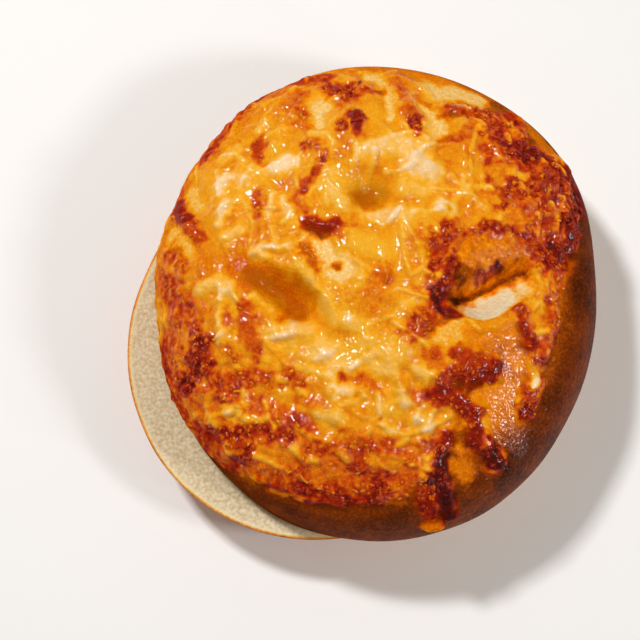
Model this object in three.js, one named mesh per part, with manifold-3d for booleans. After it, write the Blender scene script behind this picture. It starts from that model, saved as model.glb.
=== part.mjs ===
// Asiago bagel, sliced through and set back together a little askew. The lower
// half stands on its flat underside with a crescent of crumb showing. The top
// half carries a blanket of melted cheese that breaks up into drips and strands
// over the bare crust, and the bagel's hole has closed up to a deep pocket.
import * as THREE from "three";
import { mergeVertices } from "three/addons/utils/BufferGeometryUtils.js";
import Module from "manifold-3d";

// Sizes of the bagel, in millimetres
const WIDTH = 103; // top half, left to right
const LENGTH = 114; // top half, front to back
const HEIGHT = 45; // table to the crown of the crust
const BELLY_HEIGHT = 20; // where the side bulges furthest
const CUT_HEIGHT = 17; // the knife's cut
const FOOT_PRESS = 4; // depth of round dough pressed flat against the tray
const CROWN_POWER = 2.5; // side curve over the belly, 2 is an ellipse
const FOOT_POWER = 3.2; // side curve under the belly, squarer
const SHOULDER = { turn: 35, spread: 26, bulge: 2.2 }; // fuller corner at the back right
const GAP = 0.3; // air between pieces that touch

// The lower half is slimmer, its long way points to the front left corner
const LOWER_WIDTH = 95;
const LOWER_LENGTH = 110;
const LOWER_LONG_WAY = 225; // degrees
const SLIDE = new THREE.Vector2(7.2, 4.5); // how far the top half lies askew

// Melted cheese
const CHEESE_THICKNESS = 1.5;
const EDGE_SLOPE = 1.1; // rise of the blunt edge for each millimetre inward
const BURIED = -1.2; // the cheese's skin is lost this deep where the crust is bare
const SHRED_COUNT = 110;
const SHRED_HEIGHT = 1.1;
const SHRED_SEED = 41;

// How finely each skin is faceted, and which part of the facets goes to the upper part of its area
const CRUST_FACETS = { detail: 13, facets: 0.88, area: 0.56 };
const LOWER_FACETS = { detail: 9, facets: 0.2, area: 0.5 };
const CHEESE_FACETS = { detail: 19, facets: 0.9, area: 0.53 };

const radians = THREE.MathUtils.degToRad;
const wasm = await Module();
wasm.setup();

// Side profile from crown to foot: distance over the crust (arc), radius and
// height, the direction that faces out, and the skin's area so far
const MEAN_RADIUS = (WIDTH + LENGTH) / 4;
const PROFILE_STEPS = 360;

function sideCurve() {
  const samples = [];
  for (let i = 0; i <= PROFILE_STEPS; i += 1) {
    const turn = (Math.PI * i) / PROFILE_STEPS;
    const upper = turn < Math.PI / 2;
    const power = 2 / (upper ? CROWN_POWER : FOOT_POWER);
    const rise = upper ? HEIGHT - BELLY_HEIGHT : -(BELLY_HEIGHT + FOOT_PRESS);
    samples.push({
      radius: MEAN_RADIUS * Math.max(Math.sin(turn), 0) ** power,
      height: BELLY_HEIGHT + rise * Math.abs(Math.cos(turn)) ** power,
    });
  }
  samples.forEach((here, i) => {
    const before = samples[Math.max(i - 1, 0)];
    const after = samples[Math.min(i + 1, PROFILE_STEPS)];
    const run = after.radius - before.radius;
    const drop = before.height - after.height;
    here.outward = drop / Math.hypot(run, drop);
    here.upward = run / Math.hypot(run, drop);
    const step = Math.hypot(here.radius - before.radius, here.height - before.height);
    here.arc = i === 0 ? 0 : before.arc + step;
    here.area = i === 0 ? 0 : before.area + Math.PI * step * (here.radius + before.radius);
  });
  return samples;
}

const side = sideCurve();
const SKIN_AREA = side[PROFILE_STEPS].area;

function sideAtArea(area) {
  const next = Math.max(side.findIndex((sample) => sample.area >= area), 1);
  const from = side[next - 1];
  const to = side[next];
  const share = (area - from.area) / (to.area - from.area);
  const found = {};
  for (const key of Object.keys(from)) found[key] = THREE.MathUtils.lerp(from[key], to[key], share);
  return found;
}

// Outlines seen from above, as a factor on the mean radius
function upperOutline(turn) {
  const off = turn / radians(SHOULDER.spread) - SHOULDER.turn / SHOULDER.spread;
  const shoulder = (SHOULDER.bulge / MEAN_RADIUS) * Math.exp(-off * off);
  return 1 + shoulder - ((LENGTH - WIDTH) / (LENGTH + WIDTH)) * Math.cos(2 * turn);
}

function lowerOutline(turn) {
  const mean = (LOWER_WIDTH + LOWER_LENGTH) / 4;
  const swing = (LOWER_LENGTH - LOWER_WIDTH) / 4;
  return (mean + swing * Math.cos(2 * (turn - radians(LOWER_LONG_WAY)))) / MEAN_RADIUS;
}

// Places on the crust are (x, y) in millimetres over the skin from the crown
const DIMPLES = [
  { name: "left fold", at: [-21, -4.5], half: [13, 6.5], turn: -32, depth: 6.5 },
  { name: "back dimple", at: [-1.5, 20], half: [7.5, 9], turn: 0, depth: 4.2 },
  { name: "crease by the pocket", at: [13, 6], half: [3, 9], turn: 10, depth: 1.6 },
];
const POCKET = { at: [26.3, -1.2], half: [12.3, 8.8, 12], turn: 12, height: 43 };
const FLAP = { at: [23.5, 4.2], half: [12, 7.4, 8], turn: 24, height: 34 };
const POCKET_RIM = 1; // how far the cheese stays back from the pocket

// Waves of the dough, calmer down the side: [wave length, direction in degrees, height, phase]
const WAVES = [
  [61, 20, 0.55, 0.4],
  [43, 75, 0.5, 2.1],
  [37, 140, 0.4, 4.4],
  [29, 110, 0.35, 1.2],
  [23, 50, 0.25, 3.3],
];

function waves(x, y) {
  let sum = 0;
  for (const [length, turn, height, phase] of WAVES) {
    const along = x * Math.cos(radians(turn)) + y * Math.sin(radians(turn));
    sum += height * Math.sin((2 * Math.PI * along) / length + phase);
  }
  return sum * (1 - 0.75 * THREE.MathUtils.smoothstep(Math.hypot(x, y), 38, 58));
}

// Distance from the middle of an oval, 1 on its rim
function ovalDistance(x, y, { at, half, turn }) {
  const c = Math.cos(radians(turn));
  const s = Math.sin(radians(turn));
  const along = (x - at[0]) * c + (y - at[1]) * s;
  const across = (y - at[1]) * c - (x - at[0]) * s;
  return Math.hypot(along / half[0], across / half[1]);
}

function crustLift(x, y) {
  let lift = waves(x, y);
  for (const dimple of DIMPLES) {
    const near = Math.min(ovalDistance(x, y, dimple), 1);
    lift -= dimple.depth * (1 - near * near) ** 2;
  }
  return lift;
}

// Edge of the cheese blanket: [direction in degrees, distance over the crust]
const BLANKET_EDGE = [
  [0, 47], [10, 50], [26, 55], [42, 52], [58, 46], [68, 42], [79, 48], [90, 46], [101, 50],
  [113, 56], [132, 58], [153, 60], [184, 62], [203, 64], [222, 62], [235, 57], [250, 54],
  [264, 54], [275, 48], [288, 45], [296, 39], [305, 30], [320, 25], [334, 26], [346, 36],
];
const edgeCurve = new THREE.CatmullRomCurve3(
  BLANKET_EDGE.map(([turn, arc]) => {
    return new THREE.Vector3(arc * Math.cos(radians(turn)), arc * Math.sin(radians(turn)), 0);
  }),
  true,
);
const edgePoints = edgeCurve.getSpacedPoints(240);

// How far inside the blanket a place lies, minus outside
function insideBlanket(x, y) {
  let nearest = Infinity;
  let inside = false;
  for (let i = 1; i < edgePoints.length; i += 1) {
    const a = edgePoints[i - 1];
    const b = edgePoints[i];
    nearest = Math.min(nearest, Math.hypot(x - a.x, y - a.y));
    const crosses = a.y > y !== b.y > y;
    if (crosses && x < a.x + ((b.x - a.x) * (y - a.y)) / (b.y - a.y)) inside = !inside;
  }
  return inside ? nearest : -nearest;
}

// Fingers, drips and strands that run out over the bare crust
const RUNS = [
  { name: "front right finger", path: [[12, -19], [20, -21], [28, -22]], half: [4.6, 3], height: 2.2 },
  { name: "front drip", path: [[12, -25], [20.5, -29.5], [23, -35], [27, -43]], half: [4, 2.2], height: 2.3 },
  { name: "long drip", path: [[12, -34], [14.5, -42], [13, -49], [13.5, -61]], half: [4, 2.3], height: 2.6 },
  { name: "pocket strand", path: [[33.5, -4], [35, -10], [34, -16]], half: [1.9, 1.6], height: 1.5 },
  { name: "right strand", path: [[43, 0], [41, -14], [37, -21], [38, -28]], half: [2.4, 1.7], height: 1.8 },
  { name: "back strand", path: [[8.5, 52], [9.5, 44], [11, 35]], half: [2, 2.6], height: 1.8 },
];

// Distance to a run as a share of its half width there, 1 on its rim
function runDistance(x, y, { path, half }) {
  let best = Infinity;
  for (let i = 1; i < path.length; i += 1) {
    const [ax, ay] = path[i - 1];
    const [bx, by] = path[i];
    const length = Math.hypot(bx - ax, by - ay);
    const along = ((x - ax) * (bx - ax) + (y - ay) * (by - ay)) / (length * length);
    const share = THREE.MathUtils.clamp(along, 0, 1);
    const gone = (i - 1 + share) / (path.length - 1);
    const width = THREE.MathUtils.lerp(half[0], half[half.length - 1], gone);
    const away = Math.hypot(x - ax - share * (bx - ax), y - ay - share * (by - ay));
    best = Math.min(best, away / width);
  }
  return best;
}

// Lumps of softer cheese, and windows where the crust shows through
const LUMPS = [
  { at: [11, 26], half: [6, 5], turn: 20, height: 1.6 },
  { at: [0.5, 30], half: [10, 4], turn: -8, height: 1.2 },
  { at: [-21, 25.5], half: [6, 5], turn: 40, height: 1.2 },
  { at: [-33, 21], half: [5, 7], turn: 0, height: 1.3 },
  { at: [14, 16], half: [5, 4], turn: 0, height: 1.6 },
  { at: [-11, -20.5], half: [13, 7], turn: -20, height: 1.2 },
  { at: [6, -28], half: [6, 5], turn: 0, height: 1.5 },
  { at: [10, -35], half: [6, 5], turn: -40, height: 1.6 },
  { at: [-37, -2], half: [6, 5], turn: 60, height: 1.4 },
  { at: [39.5, 7], half: [4, 4], turn: 0, height: 1.6 },
];
const WINDOWS = [
  { at: [-9.8, 3.4], half: [6.5, 3.6], turn: -59 },
  { at: [-13.4, 40.5], half: [6, 2.6], turn: -65 },
  { at: [3.2, 36.2], half: [3.6, 1.6], turn: 80 },
  { at: [-44.7, 21.8], half: [4, 2.2], turn: 70 },
  { at: [-47.2, 9.6], half: [3.6, 2.4], turn: 90 },
];

// Grated shreds that kept some of their shape, strewn by a small generator
function generator(seed) {
  let state = seed;
  return () => {
    state = (state * 16807) % 2147483647;
    return state / 2147483647;
  };
}

function strewShreds() {
  const draw = generator(SHRED_SEED);
  const shreds = [];
  for (let i = 0; i < SHRED_COUNT; i += 1) {
    const turn = 2 * Math.PI * draw();
    const arc = 60 * Math.sqrt(draw());
    const lean = 2 * Math.PI * draw();
    const reach = 3.5 + 4 * draw();
    const x = arc * Math.cos(turn);
    const y = arc * Math.sin(turn);
    const bend = 1.5 * (draw() - 0.5);
    const dx = reach * Math.cos(lean);
    const dy = reach * Math.sin(lean);
    shreds.push({
      path: [[x - dx, y - dy], [x - dy * bend * 0.3, y + dx * bend * 0.3], [x + dx, y + dy]],
      half: [1.5, 1.3],
    });
  }
  return shreds;
}

const shreds = strewShreds();

// Height of a skin that rises from a blunt edge, by the distance in from that edge
function bluntEdge(inward, height) {
  return Math.max(Math.min(GAP + EDGE_SLOPE * inward, height), BURIED);
}

function cheeseLift(x, y) {
  let inward = insideBlanket(x, y);
  for (const window of WINDOWS) {
    inward = Math.min(inward, (ovalDistance(x, y, window) - 1) * window.half[1]);
  }
  let height = CHEESE_THICKNESS;
  for (const lump of LUMPS) {
    const near = Math.min(ovalDistance(x, y, lump), 1);
    height += lump.height * (1 - near * near) ** 2;
  }
  let relief = 0;
  for (const shred of shreds) {
    const near = Math.min(runDistance(x, y, shred), 1);
    relief = Math.max(relief, SHRED_HEIGHT * (1 - near * near));
  }
  let lift = bluntEdge(inward, height + relief);
  for (const run of RUNS) {
    const near = runDistance(x, y, run);
    const round = run.height * Math.sqrt(Math.max(1 - 0.5 * near * near, 0));
    lift = Math.max(lift, bluntEdge((1 - near) * run.half[1], round));
  }
  return lift;
}

// Joining and cutting
function solidOf(geometry) {
  const bare = new THREE.BufferGeometry();
  bare.setAttribute("position", geometry.getAttribute("position"));
  const merged = mergeVertices(geometry.index ? bare.setIndex(geometry.index) : bare, 1e-5);
  return new wasm.Manifold(
    new wasm.Mesh({
      numProp: 3,
      vertProperties: new Float32Array(merged.getAttribute("position").array),
      triVerts: new Uint32Array(merged.index.array),
    }),
  );
}

function geometryOf(solid) {
  const mesh = solid.getMesh();
  const geometry = new THREE.BufferGeometry();
  geometry.setAttribute("position", new THREE.BufferAttribute(new Float32Array(mesh.vertProperties), 3));
  geometry.setIndex(new THREE.BufferAttribute(new Uint32Array(mesh.triVerts), 1));
  geometry.computeVertexNormals();
  return geometry;
}

function largestOf(solid) {
  return solid.decompose().reduce((best, piece) => (piece.volume() > best.volume() ? piece : best));
}

// A closed skin over the whole bagel
function skin({ detail, facets, area }, outline, lift) {
  const geometry = new THREE.IcosahedronGeometry(1, detail);
  geometry.deleteAttribute("normal");
  geometry.deleteAttribute("uv");
  const even = mergeVertices(geometry, 1e-5);
  const position = even.getAttribute("position");
  for (let i = 0; i < position.count; i += 1) {
    const turn = Math.atan2(position.getY(i), position.getX(i));
    const share = THREE.MathUtils.clamp((1 - position.getZ(i)) / 2, 0, 1);
    const under = (share - facets) / (1 - facets);
    const covered = share < facets ? (share * area) / facets : area + under * (1 - area);
    const place = sideAtArea(covered * SKIN_AREA);
    const factor = outline(turn);
    const out = lift(place.arc * factor * Math.cos(turn), place.arc * factor * Math.sin(turn));
    const radius = place.radius * factor + out * place.outward;
    position.setXYZ(i, radius * Math.cos(turn), radius * Math.sin(turn), place.height + out * place.upward);
  }
  return solidOf(even);
}

// The part of space between two heights
function slab(bottom, top) {
  const geometry = new THREE.BoxGeometry(4 * WIDTH, 4 * LENGTH, top - bottom);
  geometry.translate(0, 0, (top + bottom) / 2);
  return solidOf(geometry);
}

function oval({ at, half, turn, height }, more = 0) {
  const geometry = new THREE.IcosahedronGeometry(1, 6);
  geometry.scale(half[0] + more, half[1] + more, half[2] + more);
  geometry.rotateZ(radians(turn));
  geometry.translate(at[0], at[1], height);
  return solidOf(geometry);
}

// Lower half
const lowerSkin = skin(LOWER_FACETS, lowerOutline, waves);
const bottomHalf = lowerSkin.intersect(slab(0, CUT_HEIGHT));

// Top half, with the pocket and the flap of crust inside it
const crust = skin(CRUST_FACETS, upperOutline, crustLift);
const topHalf = crust
  .intersect(slab(CUT_HEIGHT + GAP, 2 * HEIGHT))
  .subtract(oval(POCKET))
  .add(oval(FLAP).intersect(slab(CUT_HEIGHT + 2 * GAP, 2 * HEIGHT)));

// Cheese, laid over the crust with a little air between
const crustAndAir = skin(CRUST_FACETS, upperOutline, (x, y) => crustLift(x, y) + GAP);
const cheeseSkin = skin(CHEESE_FACETS, upperOutline, (x, y) => crustLift(x, y) + cheeseLift(x, y));
const cheese = largestOf(
  cheeseSkin
    .intersect(slab(CUT_HEIGHT + GAP, 2 * HEIGHT))
    .subtract(crustAndAir)
    .subtract(oval(POCKET, POCKET_RIM)),
);

const FINISHES = {
  bottom_half: { solid: bottomHalf, colour: 0xd9b98a, roughness: 0.8, slide: false },
  top_half: { solid: topHalf, colour: 0xc67a2c, roughness: 0.55, slide: true },
  cheese: { solid: cheese, colour: 0xe79a2b, roughness: 0.4, slide: true },
};

const bagel = new THREE.Group();
bagel.name = "asiago_bagel";
for (const [name, { solid, colour, roughness, slide }] of Object.entries(FINISHES)) {
  const geometry = geometryOf(solid);
  if (slide) geometry.translate(SLIDE.x, SLIDE.y, 0);
  const mesh = new THREE.Mesh(geometry, new THREE.MeshStandardMaterial({ color: colour, roughness }));
  mesh.name = name;
  bagel.add(mesh);
}

export default bagel;
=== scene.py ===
# %% [markdown]
# # A sliced bagel under melted asiago
# A bagel is boiled before it is baked, so its crust is tight and glossy. This one lost
# its hole in the oven: only a pocket and two dimples are left. Grated cheese covers the
# top, where it melted, bubbled and browned, and a knife has split the bagel in two.
# The lesson follows the baker: dough first, then cheese, then the heat of the oven.
# Each layer is a height over a plain dome, worked out as arrays and turned into a mesh.

# %% Load the imported model
import math

import bpy
import numpy as np
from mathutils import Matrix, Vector, noise


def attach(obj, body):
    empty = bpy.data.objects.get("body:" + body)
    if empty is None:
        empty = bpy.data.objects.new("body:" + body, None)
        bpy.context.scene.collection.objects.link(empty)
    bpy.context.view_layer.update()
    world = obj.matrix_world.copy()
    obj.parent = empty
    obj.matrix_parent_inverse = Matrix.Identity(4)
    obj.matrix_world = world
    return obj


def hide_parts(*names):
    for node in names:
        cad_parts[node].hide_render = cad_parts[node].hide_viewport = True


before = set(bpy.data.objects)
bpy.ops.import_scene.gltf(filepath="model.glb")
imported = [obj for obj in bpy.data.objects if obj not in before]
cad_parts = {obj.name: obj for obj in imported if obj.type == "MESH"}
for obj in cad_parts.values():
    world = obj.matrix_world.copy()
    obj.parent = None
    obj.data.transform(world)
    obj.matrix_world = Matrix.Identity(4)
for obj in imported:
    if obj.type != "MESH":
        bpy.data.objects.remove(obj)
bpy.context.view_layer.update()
scene = bpy.context.scene
MM = 0.001

# %% [markdown]
# ## The camera
# The photo looks down from the front, a little off the vertical, through a long lens.
# The camera comes first, because later steps use it to carry places from the photo's
# pixels onto the crust.

# %% Place the camera
PHOTO_PIXELS = 640
CAMERA_TILT = math.radians(12)
CAMERA_LENS = 105
CAMERA_DISTANCE = 443
CAMERA_AIM = np.array([-6.2, 0.0, 19.0])

camera = bpy.data.objects.new("camera", bpy.data.cameras.new("camera"))
camera.data.lens = CAMERA_LENS
camera.rotation_euler = (CAMERA_TILT, 0, 0)
view_axes = np.array(camera.rotation_euler.to_matrix())
eye = CAMERA_AIM + CAMERA_DISTANCE * view_axes[:, 2]
camera.location = eye * MM
scene.collection.objects.link(camera)
scene.camera = camera


def to_photo(points):
    """Pixels of the photo where points in millimetres are seen."""
    seen = (points - eye) @ view_axes
    pixels = -CAMERA_LENS / camera.data.sensor_width * PHOTO_PIXELS / seen[:, 2]
    return np.stack([PHOTO_PIXELS / 2 + pixels * seen[:, 0], PHOTO_PIXELS / 2 - pixels * seen[:, 1]], axis=1)


print("Camera eye in mm:", eye.round(1))

# %% [markdown]
# ## The plain dome
# A baked bagel bulges like a cushion. Its side is a superellipse, squarer than an
# ellipse, and its outline from above is an oval with a fuller corner at the back right.
# A place on the crust is given by x and y in millimetres over the skin from the crown,
# so a strand of cheese keeps its length as it runs down the side.

# %% Side curve and outlines
CURVE_STEPS = 721
WIDTH, LENGTH, HEIGHT = 103, 114, 45
BELLY_HEIGHT, CUT_HEIGHT, FOOT_PRESS = 20, 17, 4
CROWN_POWER, FOOT_POWER = 2.5, 3.2
SHOULDER_TURN, SHOULDER_SPREAD, SHOULDER_BULGE = math.radians(35), math.radians(26), 2.2
LOWER_WIDTH, LOWER_LENGTH, LOWER_LONG_WAY = 95, 110, math.radians(225)
SLIDE = (7.2, 4.5)
GAP = 0.3
MEAN_RADIUS = (WIDTH + LENGTH) / 4


def side_curve():
    """The dome's side from crown to foot, with the way over the skin and the direction outwards."""
    turn = np.linspace(0, np.pi, CURVE_STEPS)
    upper = turn <= np.pi / 2
    power = 2 / np.where(upper, CROWN_POWER, FOOT_POWER)
    rise = np.where(upper, HEIGHT - BELLY_HEIGHT, -BELLY_HEIGHT - FOOT_PRESS)
    radius = MEAN_RADIUS * np.abs(np.sin(turn)) ** power
    height = BELLY_HEIGHT + rise * np.abs(np.cos(turn)) ** power
    run, drop = np.gradient(radius), -np.gradient(height)
    arc = np.concatenate([[0], np.cumsum(np.hypot(np.diff(radius), np.diff(height)))])
    length = np.hypot(run, drop)
    return {"arc": arc, "radius": radius, "height": height, "outward": drop / length, "upward": run / length}


def upper_outline(turn):
    """Reach of the top half in each direction, 1 on average."""
    off = (turn - SHOULDER_TURN) / SHOULDER_SPREAD
    oval = (LENGTH - WIDTH) / (LENGTH + WIDTH) * np.cos(2 * turn)
    return 1 - oval + SHOULDER_BULGE / MEAN_RADIUS * np.exp(-off * off)


def lower_outline(turn):
    """Reach of the lower half in each direction, against the same average."""
    swing = (LOWER_LENGTH - LOWER_WIDTH) / 4 * np.cos(2 * (turn - LOWER_LONG_WAY))
    return ((LOWER_LENGTH + LOWER_WIDTH) / 4 + swing) / MEAN_RADIUS


side = side_curve()


def on_crust(x, y, lift, outline=upper_outline, middle=SLIDE):
    """Points in space for places on the crust, raised by lift."""
    turn = np.arctan2(y, x)
    factor = outline(turn)
    arc = np.hypot(x, y) / factor
    radius = np.interp(arc, side["arc"], side["radius"]) * factor
    radius += lift * np.interp(arc, side["arc"], side["outward"])
    height = np.interp(arc, side["arc"], side["height"]) + lift * np.interp(arc, side["arc"], side["upward"])
    return np.stack([middle[0] + radius * np.cos(turn), middle[1] + radius * np.sin(turn), height], axis=1)


below_belly = side["height"] < BELLY_HEIGHT
cut_arc = side["arc"][below_belly][np.argmin(np.abs(side["height"][below_belly] - CUT_HEIGHT))]
print("From the crown over the crust to the cut:", round(cut_arc, 1), "mm")

# %% [markdown]
# ## From the photo to the crust
# Blisters and drips have no rule, so their places are read off the photo. The crust is
# scanned with a fine grid, every grid point that faces the camera is projected, and a
# pixel then takes the place of the nearest one. What is placed this way really lies on
# the bagel and holds from every side.
#
# The grid is a square bent into a disc: its cells stay nearly even and its rim is a
# clean circle, which a plain ring grid can't give at the centre.

# %% Grid on a disc, and places by pixel
SCAN_CELLS = 420
BAGEL_MIDDLE = (375, 302)


def disc_grid(cells, reach, outline):
    """A square grid bent to a disc over the crust: x, y, quads, and the rim in order."""
    line = np.linspace(-1, 1, cells + 1)
    a, b = np.meshgrid(line, line, indexing="ij")
    wide = np.abs(a) > np.abs(b)
    radius = np.where(wide, a, b)
    share = np.divide(np.where(wide, b, a), radius, out=np.zeros_like(a), where=radius != 0)
    turn = np.where(wide, share * np.pi / 4, np.pi / 2 - share * np.pi / 4)
    x, y = radius * np.cos(turn), radius * np.sin(turn)
    stretch = reach * outline(np.arctan2(y, x))
    index = np.arange((cells + 1) ** 2).reshape(cells + 1, cells + 1)
    quads = np.stack([index[:-1, :-1], index[1:, :-1], index[1:, 1:], index[:-1, 1:]], axis=-1)
    rim = np.concatenate([index[:, 0], index[-1, 1:], index[-2::-1, -1], index[0, -2:0:-1]])
    return (x * stretch).ravel(), (y * stretch).ravel(), quads.reshape(-1, 4), rim


scan_x, scan_y, _, _ = disc_grid(SCAN_CELLS, cut_arc, upper_outline)
scan_points = on_crust(scan_x, scan_y, 0.0)
scan_normals = on_crust(scan_x, scan_y, 1.0) - scan_points
facing = np.sum((eye - scan_points) * scan_normals, axis=1) > 0
scan_pixels = to_photo(scan_points[facing])
scan_places = np.stack([scan_x, scan_y], axis=1)[facing]


def crust_at(pixel):
    """Place on the crust that a pixel of the photo shows."""
    away = np.hypot(scan_pixels[:, 0] - pixel[0], scan_pixels[:, 1] - pixel[1])
    return scan_places[np.argmin(away)]


print(f"Pixel {BAGEL_MIDDLE} shows the place", crust_at(BAGEL_MIDDLE).round(1))

# %% [markdown]
# Most of what follows is a distance from something on the crust, faded and shaken by
# noise. A few helpers give these: distance from a line or in from a closed one, a soft
# step, and random hills, whose seed is only a height in the noise.

# %% Distances, soft steps and noise
def path_distance(x, y, places):
    """Distance in millimetres from a line through places on the crust."""
    best = np.full_like(x, np.inf)
    for (ax, ay), (bx, by) in zip(places, places[1:] or places):
        dx, dy = bx - ax, by - ay
        along = np.clip(((x - ax) * dx + (y - ay) * dy) / max(dx * dx + dy * dy, 1e-9), 0, 1)
        best = np.minimum(best, np.hypot(x - ax - along * dx, y - ay - along * dy))
    return best


def band_distance(x, y, pixels, half):
    """Distance from a line through pixels of the photo, 1 at its half width."""
    return path_distance(x, y, [crust_at(pixel) for pixel in pixels]) / half


def on_band(x, y, pixels, half, start, end, uneven=1.0, shake=0.0):
    """1 on a line through pixels of the photo, fading out between two distances in half widths."""
    return 1 - fade(uneven * band_distance(x, y, pixels, half) + shake, start, end)


def within(x, y, places):
    """Whether places lie inside a closed line, by counting how often it is crossed."""
    inside = np.zeros(len(x), bool)
    for (ax, ay), (bx, by) in zip(places, places[1:] + places[:1]):
        if ay != by:
            inside ^= ((ay > y) != (by > y)) & (x < ax + (y - ay) * (bx - ax) / (by - ay))
    return inside


def signed_distance(x, y, outline):
    """Distance in from a closed line, minus outside."""
    away = path_distance(x, y, outline + outline[:1])
    return np.where(within(x, y, outline), away, -away)


def fade(value, start, end):
    """0 before start, 1 after end, smooth between."""
    share = np.clip((value - start) / (end - start), 0, 1)
    return share * share * (3 - 2 * share)


def toward_rim(x, y, start, end):
    """0 up to the first distance from the crown over the crust, 1 beyond the second."""
    return fade(np.hypot(x, y), start, end)


def wrinkles(x, y, size, seed):
    """Soft random hills from about -0.5 to 0.5, with that distance between them."""
    return np.array([noise.noise((a, b, seed)) for a, b in zip(x / size, y / size)])


print("A soft step at a quarter, half and three quarters:", fade(np.array([0.25, 0.5, 0.75]), 0, 1))

# %% [markdown]
# ## Relief of the dough
# Dough swells unevenly, so long low waves run over it. They calm down towards the rim,
# where the skin is tight. Where the ring closed up there is a fold at the left and a
# dimple at the back.

# %% Waves and folds
WAVES = [
    {"length": 61, "way": 20, "height": 0.55, "phase": 0.4},
    {"length": 43, "way": 75, "height": 0.5, "phase": 2.1},
    {"length": 37, "way": 140, "height": 0.4, "phase": 4.4},
    {"length": 29, "way": 110, "height": 0.35, "phase": 1.2},
    {"length": 23, "way": 50, "height": 0.25, "phase": 3.3},
]
CALM_AT_RIM = 0.75
FOLDS = {
    "left fold": {"at": (-21, -4.5), "half": (13, 6.5), "turn": -32, "depth": 6.5},
    "back dimple": {"at": (-1.5, 20), "half": (7.5, 9), "turn": 0, "depth": 4.2},
    "crease by the pocket": {"at": (13, 6), "half": (3, 9), "turn": 10, "depth": 1.6},
}


def local(x, y, oval):
    """x and y along and across an oval, 1 on its rim."""
    c, s = math.cos(math.radians(oval["turn"])), math.sin(math.radians(oval["turn"]))
    dx, dy = x - oval["at"][0], y - oval["at"][1]
    return (dx * c + dy * s) / oval["half"][0], (dy * c - dx * s) / oval["half"][1]


def waves(x, y):
    """Height of the long low waves."""
    total = np.zeros_like(x)
    for wave in WAVES:
        way = math.radians(wave["way"])
        along = x * math.cos(way) + y * math.sin(way)
        total += wave["height"] * np.sin(2 * math.pi * along / wave["length"] + wave["phase"])
    return total * (1 - CALM_AT_RIM * toward_rim(x, y, 38, 58))


print(len(WAVES), "waves and", len(FOLDS), "folds")

# %% [markdown]
# ### The pocket
# At the right the hole is still open as a pocket. Its far wall bulges like an eyelid down
# to a crease, with a step on the way, a pale floor runs from the crease towards the
# viewer, and the near lip is crisp. What lies deep is seen lower in the photo than it
# would be on the plain dome, so the crease and the step are set higher than they show.

# %% Lines and depth of the pocket
POCKET_DEPTH, STEP_DEPTH = 8.5, 1.3
POCKET_STEEPEST = 1.7
POCKET_RAGGED = (3.0, 1.6)
SHALLOWER_AT_RIGHT = 0.6
POCKET_LIP = [
    (445, 300), (450, 309), (464, 318), (484, 322), (500, 318),
    (512, 309), (524, 301), (537, 297), (542, 284),
]
POCKET_CREASE = [(445, 300), (468, 292), (484, 286), (500, 279), (514, 273), (530, 267)]
POCKET_FAR_RIM = [
    (445, 300), (449, 281), (456, 264), (459, 252), (468, 243),
    (488, 238), (508, 240), (522, 247), (532, 260), (542, 284),
]
POCKET_STEP = [
    (452, 268), (460, 264), (468, 268), (477, 274), (489, 277), (500, 271), (512, 262), (526, 257),
]
pocket_lip, pocket_crease, pocket_far_rim, pocket_step = (
    [tuple(crust_at(pixel)) for pixel in line]
    for line in (POCKET_LIP, POCKET_CREASE, POCKET_FAR_RIM, POCKET_STEP)
)
pocket_rim = pocket_far_rim + pocket_lip[-2:0:-1]


def pocket_shares(x, y):
    """Shares from rim to crease on the far wall, from crease to lip on the floor, and 1 on the floor."""
    lip, crease = path_distance(x, y, pocket_lip), path_distance(x, y, pocket_crease)
    rim = path_distance(x, y, pocket_far_rim)
    floor = fade(signed_distance(x, y, pocket_crease + pocket_lip[::-1]), -0.5, 0.5)
    return rim / (rim + crease + 1e-6), crease / (crease + lip + 1e-6), floor


def pocket_inside(x, y):
    """Distance in from the pocket's rim, crisp at the lip and uneven at the far side."""
    _, _, floor = pocket_shares(x, y)
    ragged = POCKET_RAGGED[0] * wrinkles(x, y, 4.5, 6.1) + POCKET_RAGGED[1] * wrinkles(x, y, 1.8, 3.8)
    beyond_lip = fade(path_distance(x, y, pocket_lip), 1.0, 4.0)
    return signed_distance(x, y, pocket_rim) + ragged * (1 - floor) * beyond_lip


def pocket_depth(x, y):
    """The far wall rolls down like an eyelid with a step, the floor rises again to the lip."""
    far, near, floor = pocket_shares(x, y)
    wall = 0.25 * far**2 + 0.75 * (1 - np.sqrt(np.clip(1 - far**2, 0, 1)))
    left, right = pocket_lip[0][0], pocket_lip[-1][0]
    deepest = POCKET_DEPTH * (1 - SHALLOWER_AT_RIGHT * fade((x - left) / (right - left), 0.45, 1.0))
    depth = deepest * (wall + (1 - near**1.5 - wall) * floor)
    under_step = fade(signed_distance(x, y, pocket_step + pocket_crease[::-1]), -0.3, 0.5)
    depth += STEP_DEPTH * under_step * (1 - far**4) * (1 - floor)
    edge = POCKET_STEEPEST * np.maximum(signed_distance(x, y, pocket_rim), 0)
    return np.minimum(depth, edge)


def crust_lift(x, y):
    """Height of the dough over the plain dome."""
    lift = waves(x, y) - pocket_depth(x, y)
    for fold in FOLDS.values():
        near = np.minimum(np.hypot(*local(x, y, fold)), 1)
        lift -= fold["depth"] * (1 - near * near) ** 2
    return lift


crease_x, crease_y = np.array(pocket_crease).T
print("Along the crease of the pocket:", crust_lift(crease_x, crease_y).round(1), "mm")

# %% [markdown]
# ## Where the cheese lies
# The blanket reaches down the side nearly all round and leaves the crust bare at the
# front right and in a crescent at the back. Its edge is a list of directions and
# distances, roughened by noise. Fingers, drips and strands run out over the bare crust.
# Windows of crust show through where shreds did not meet, and there the film thins out.
# A window is a line of pixels, a half width in millimetres and the tone of its crust. A
# run has a height in millimetres in place of the tone.

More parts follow.
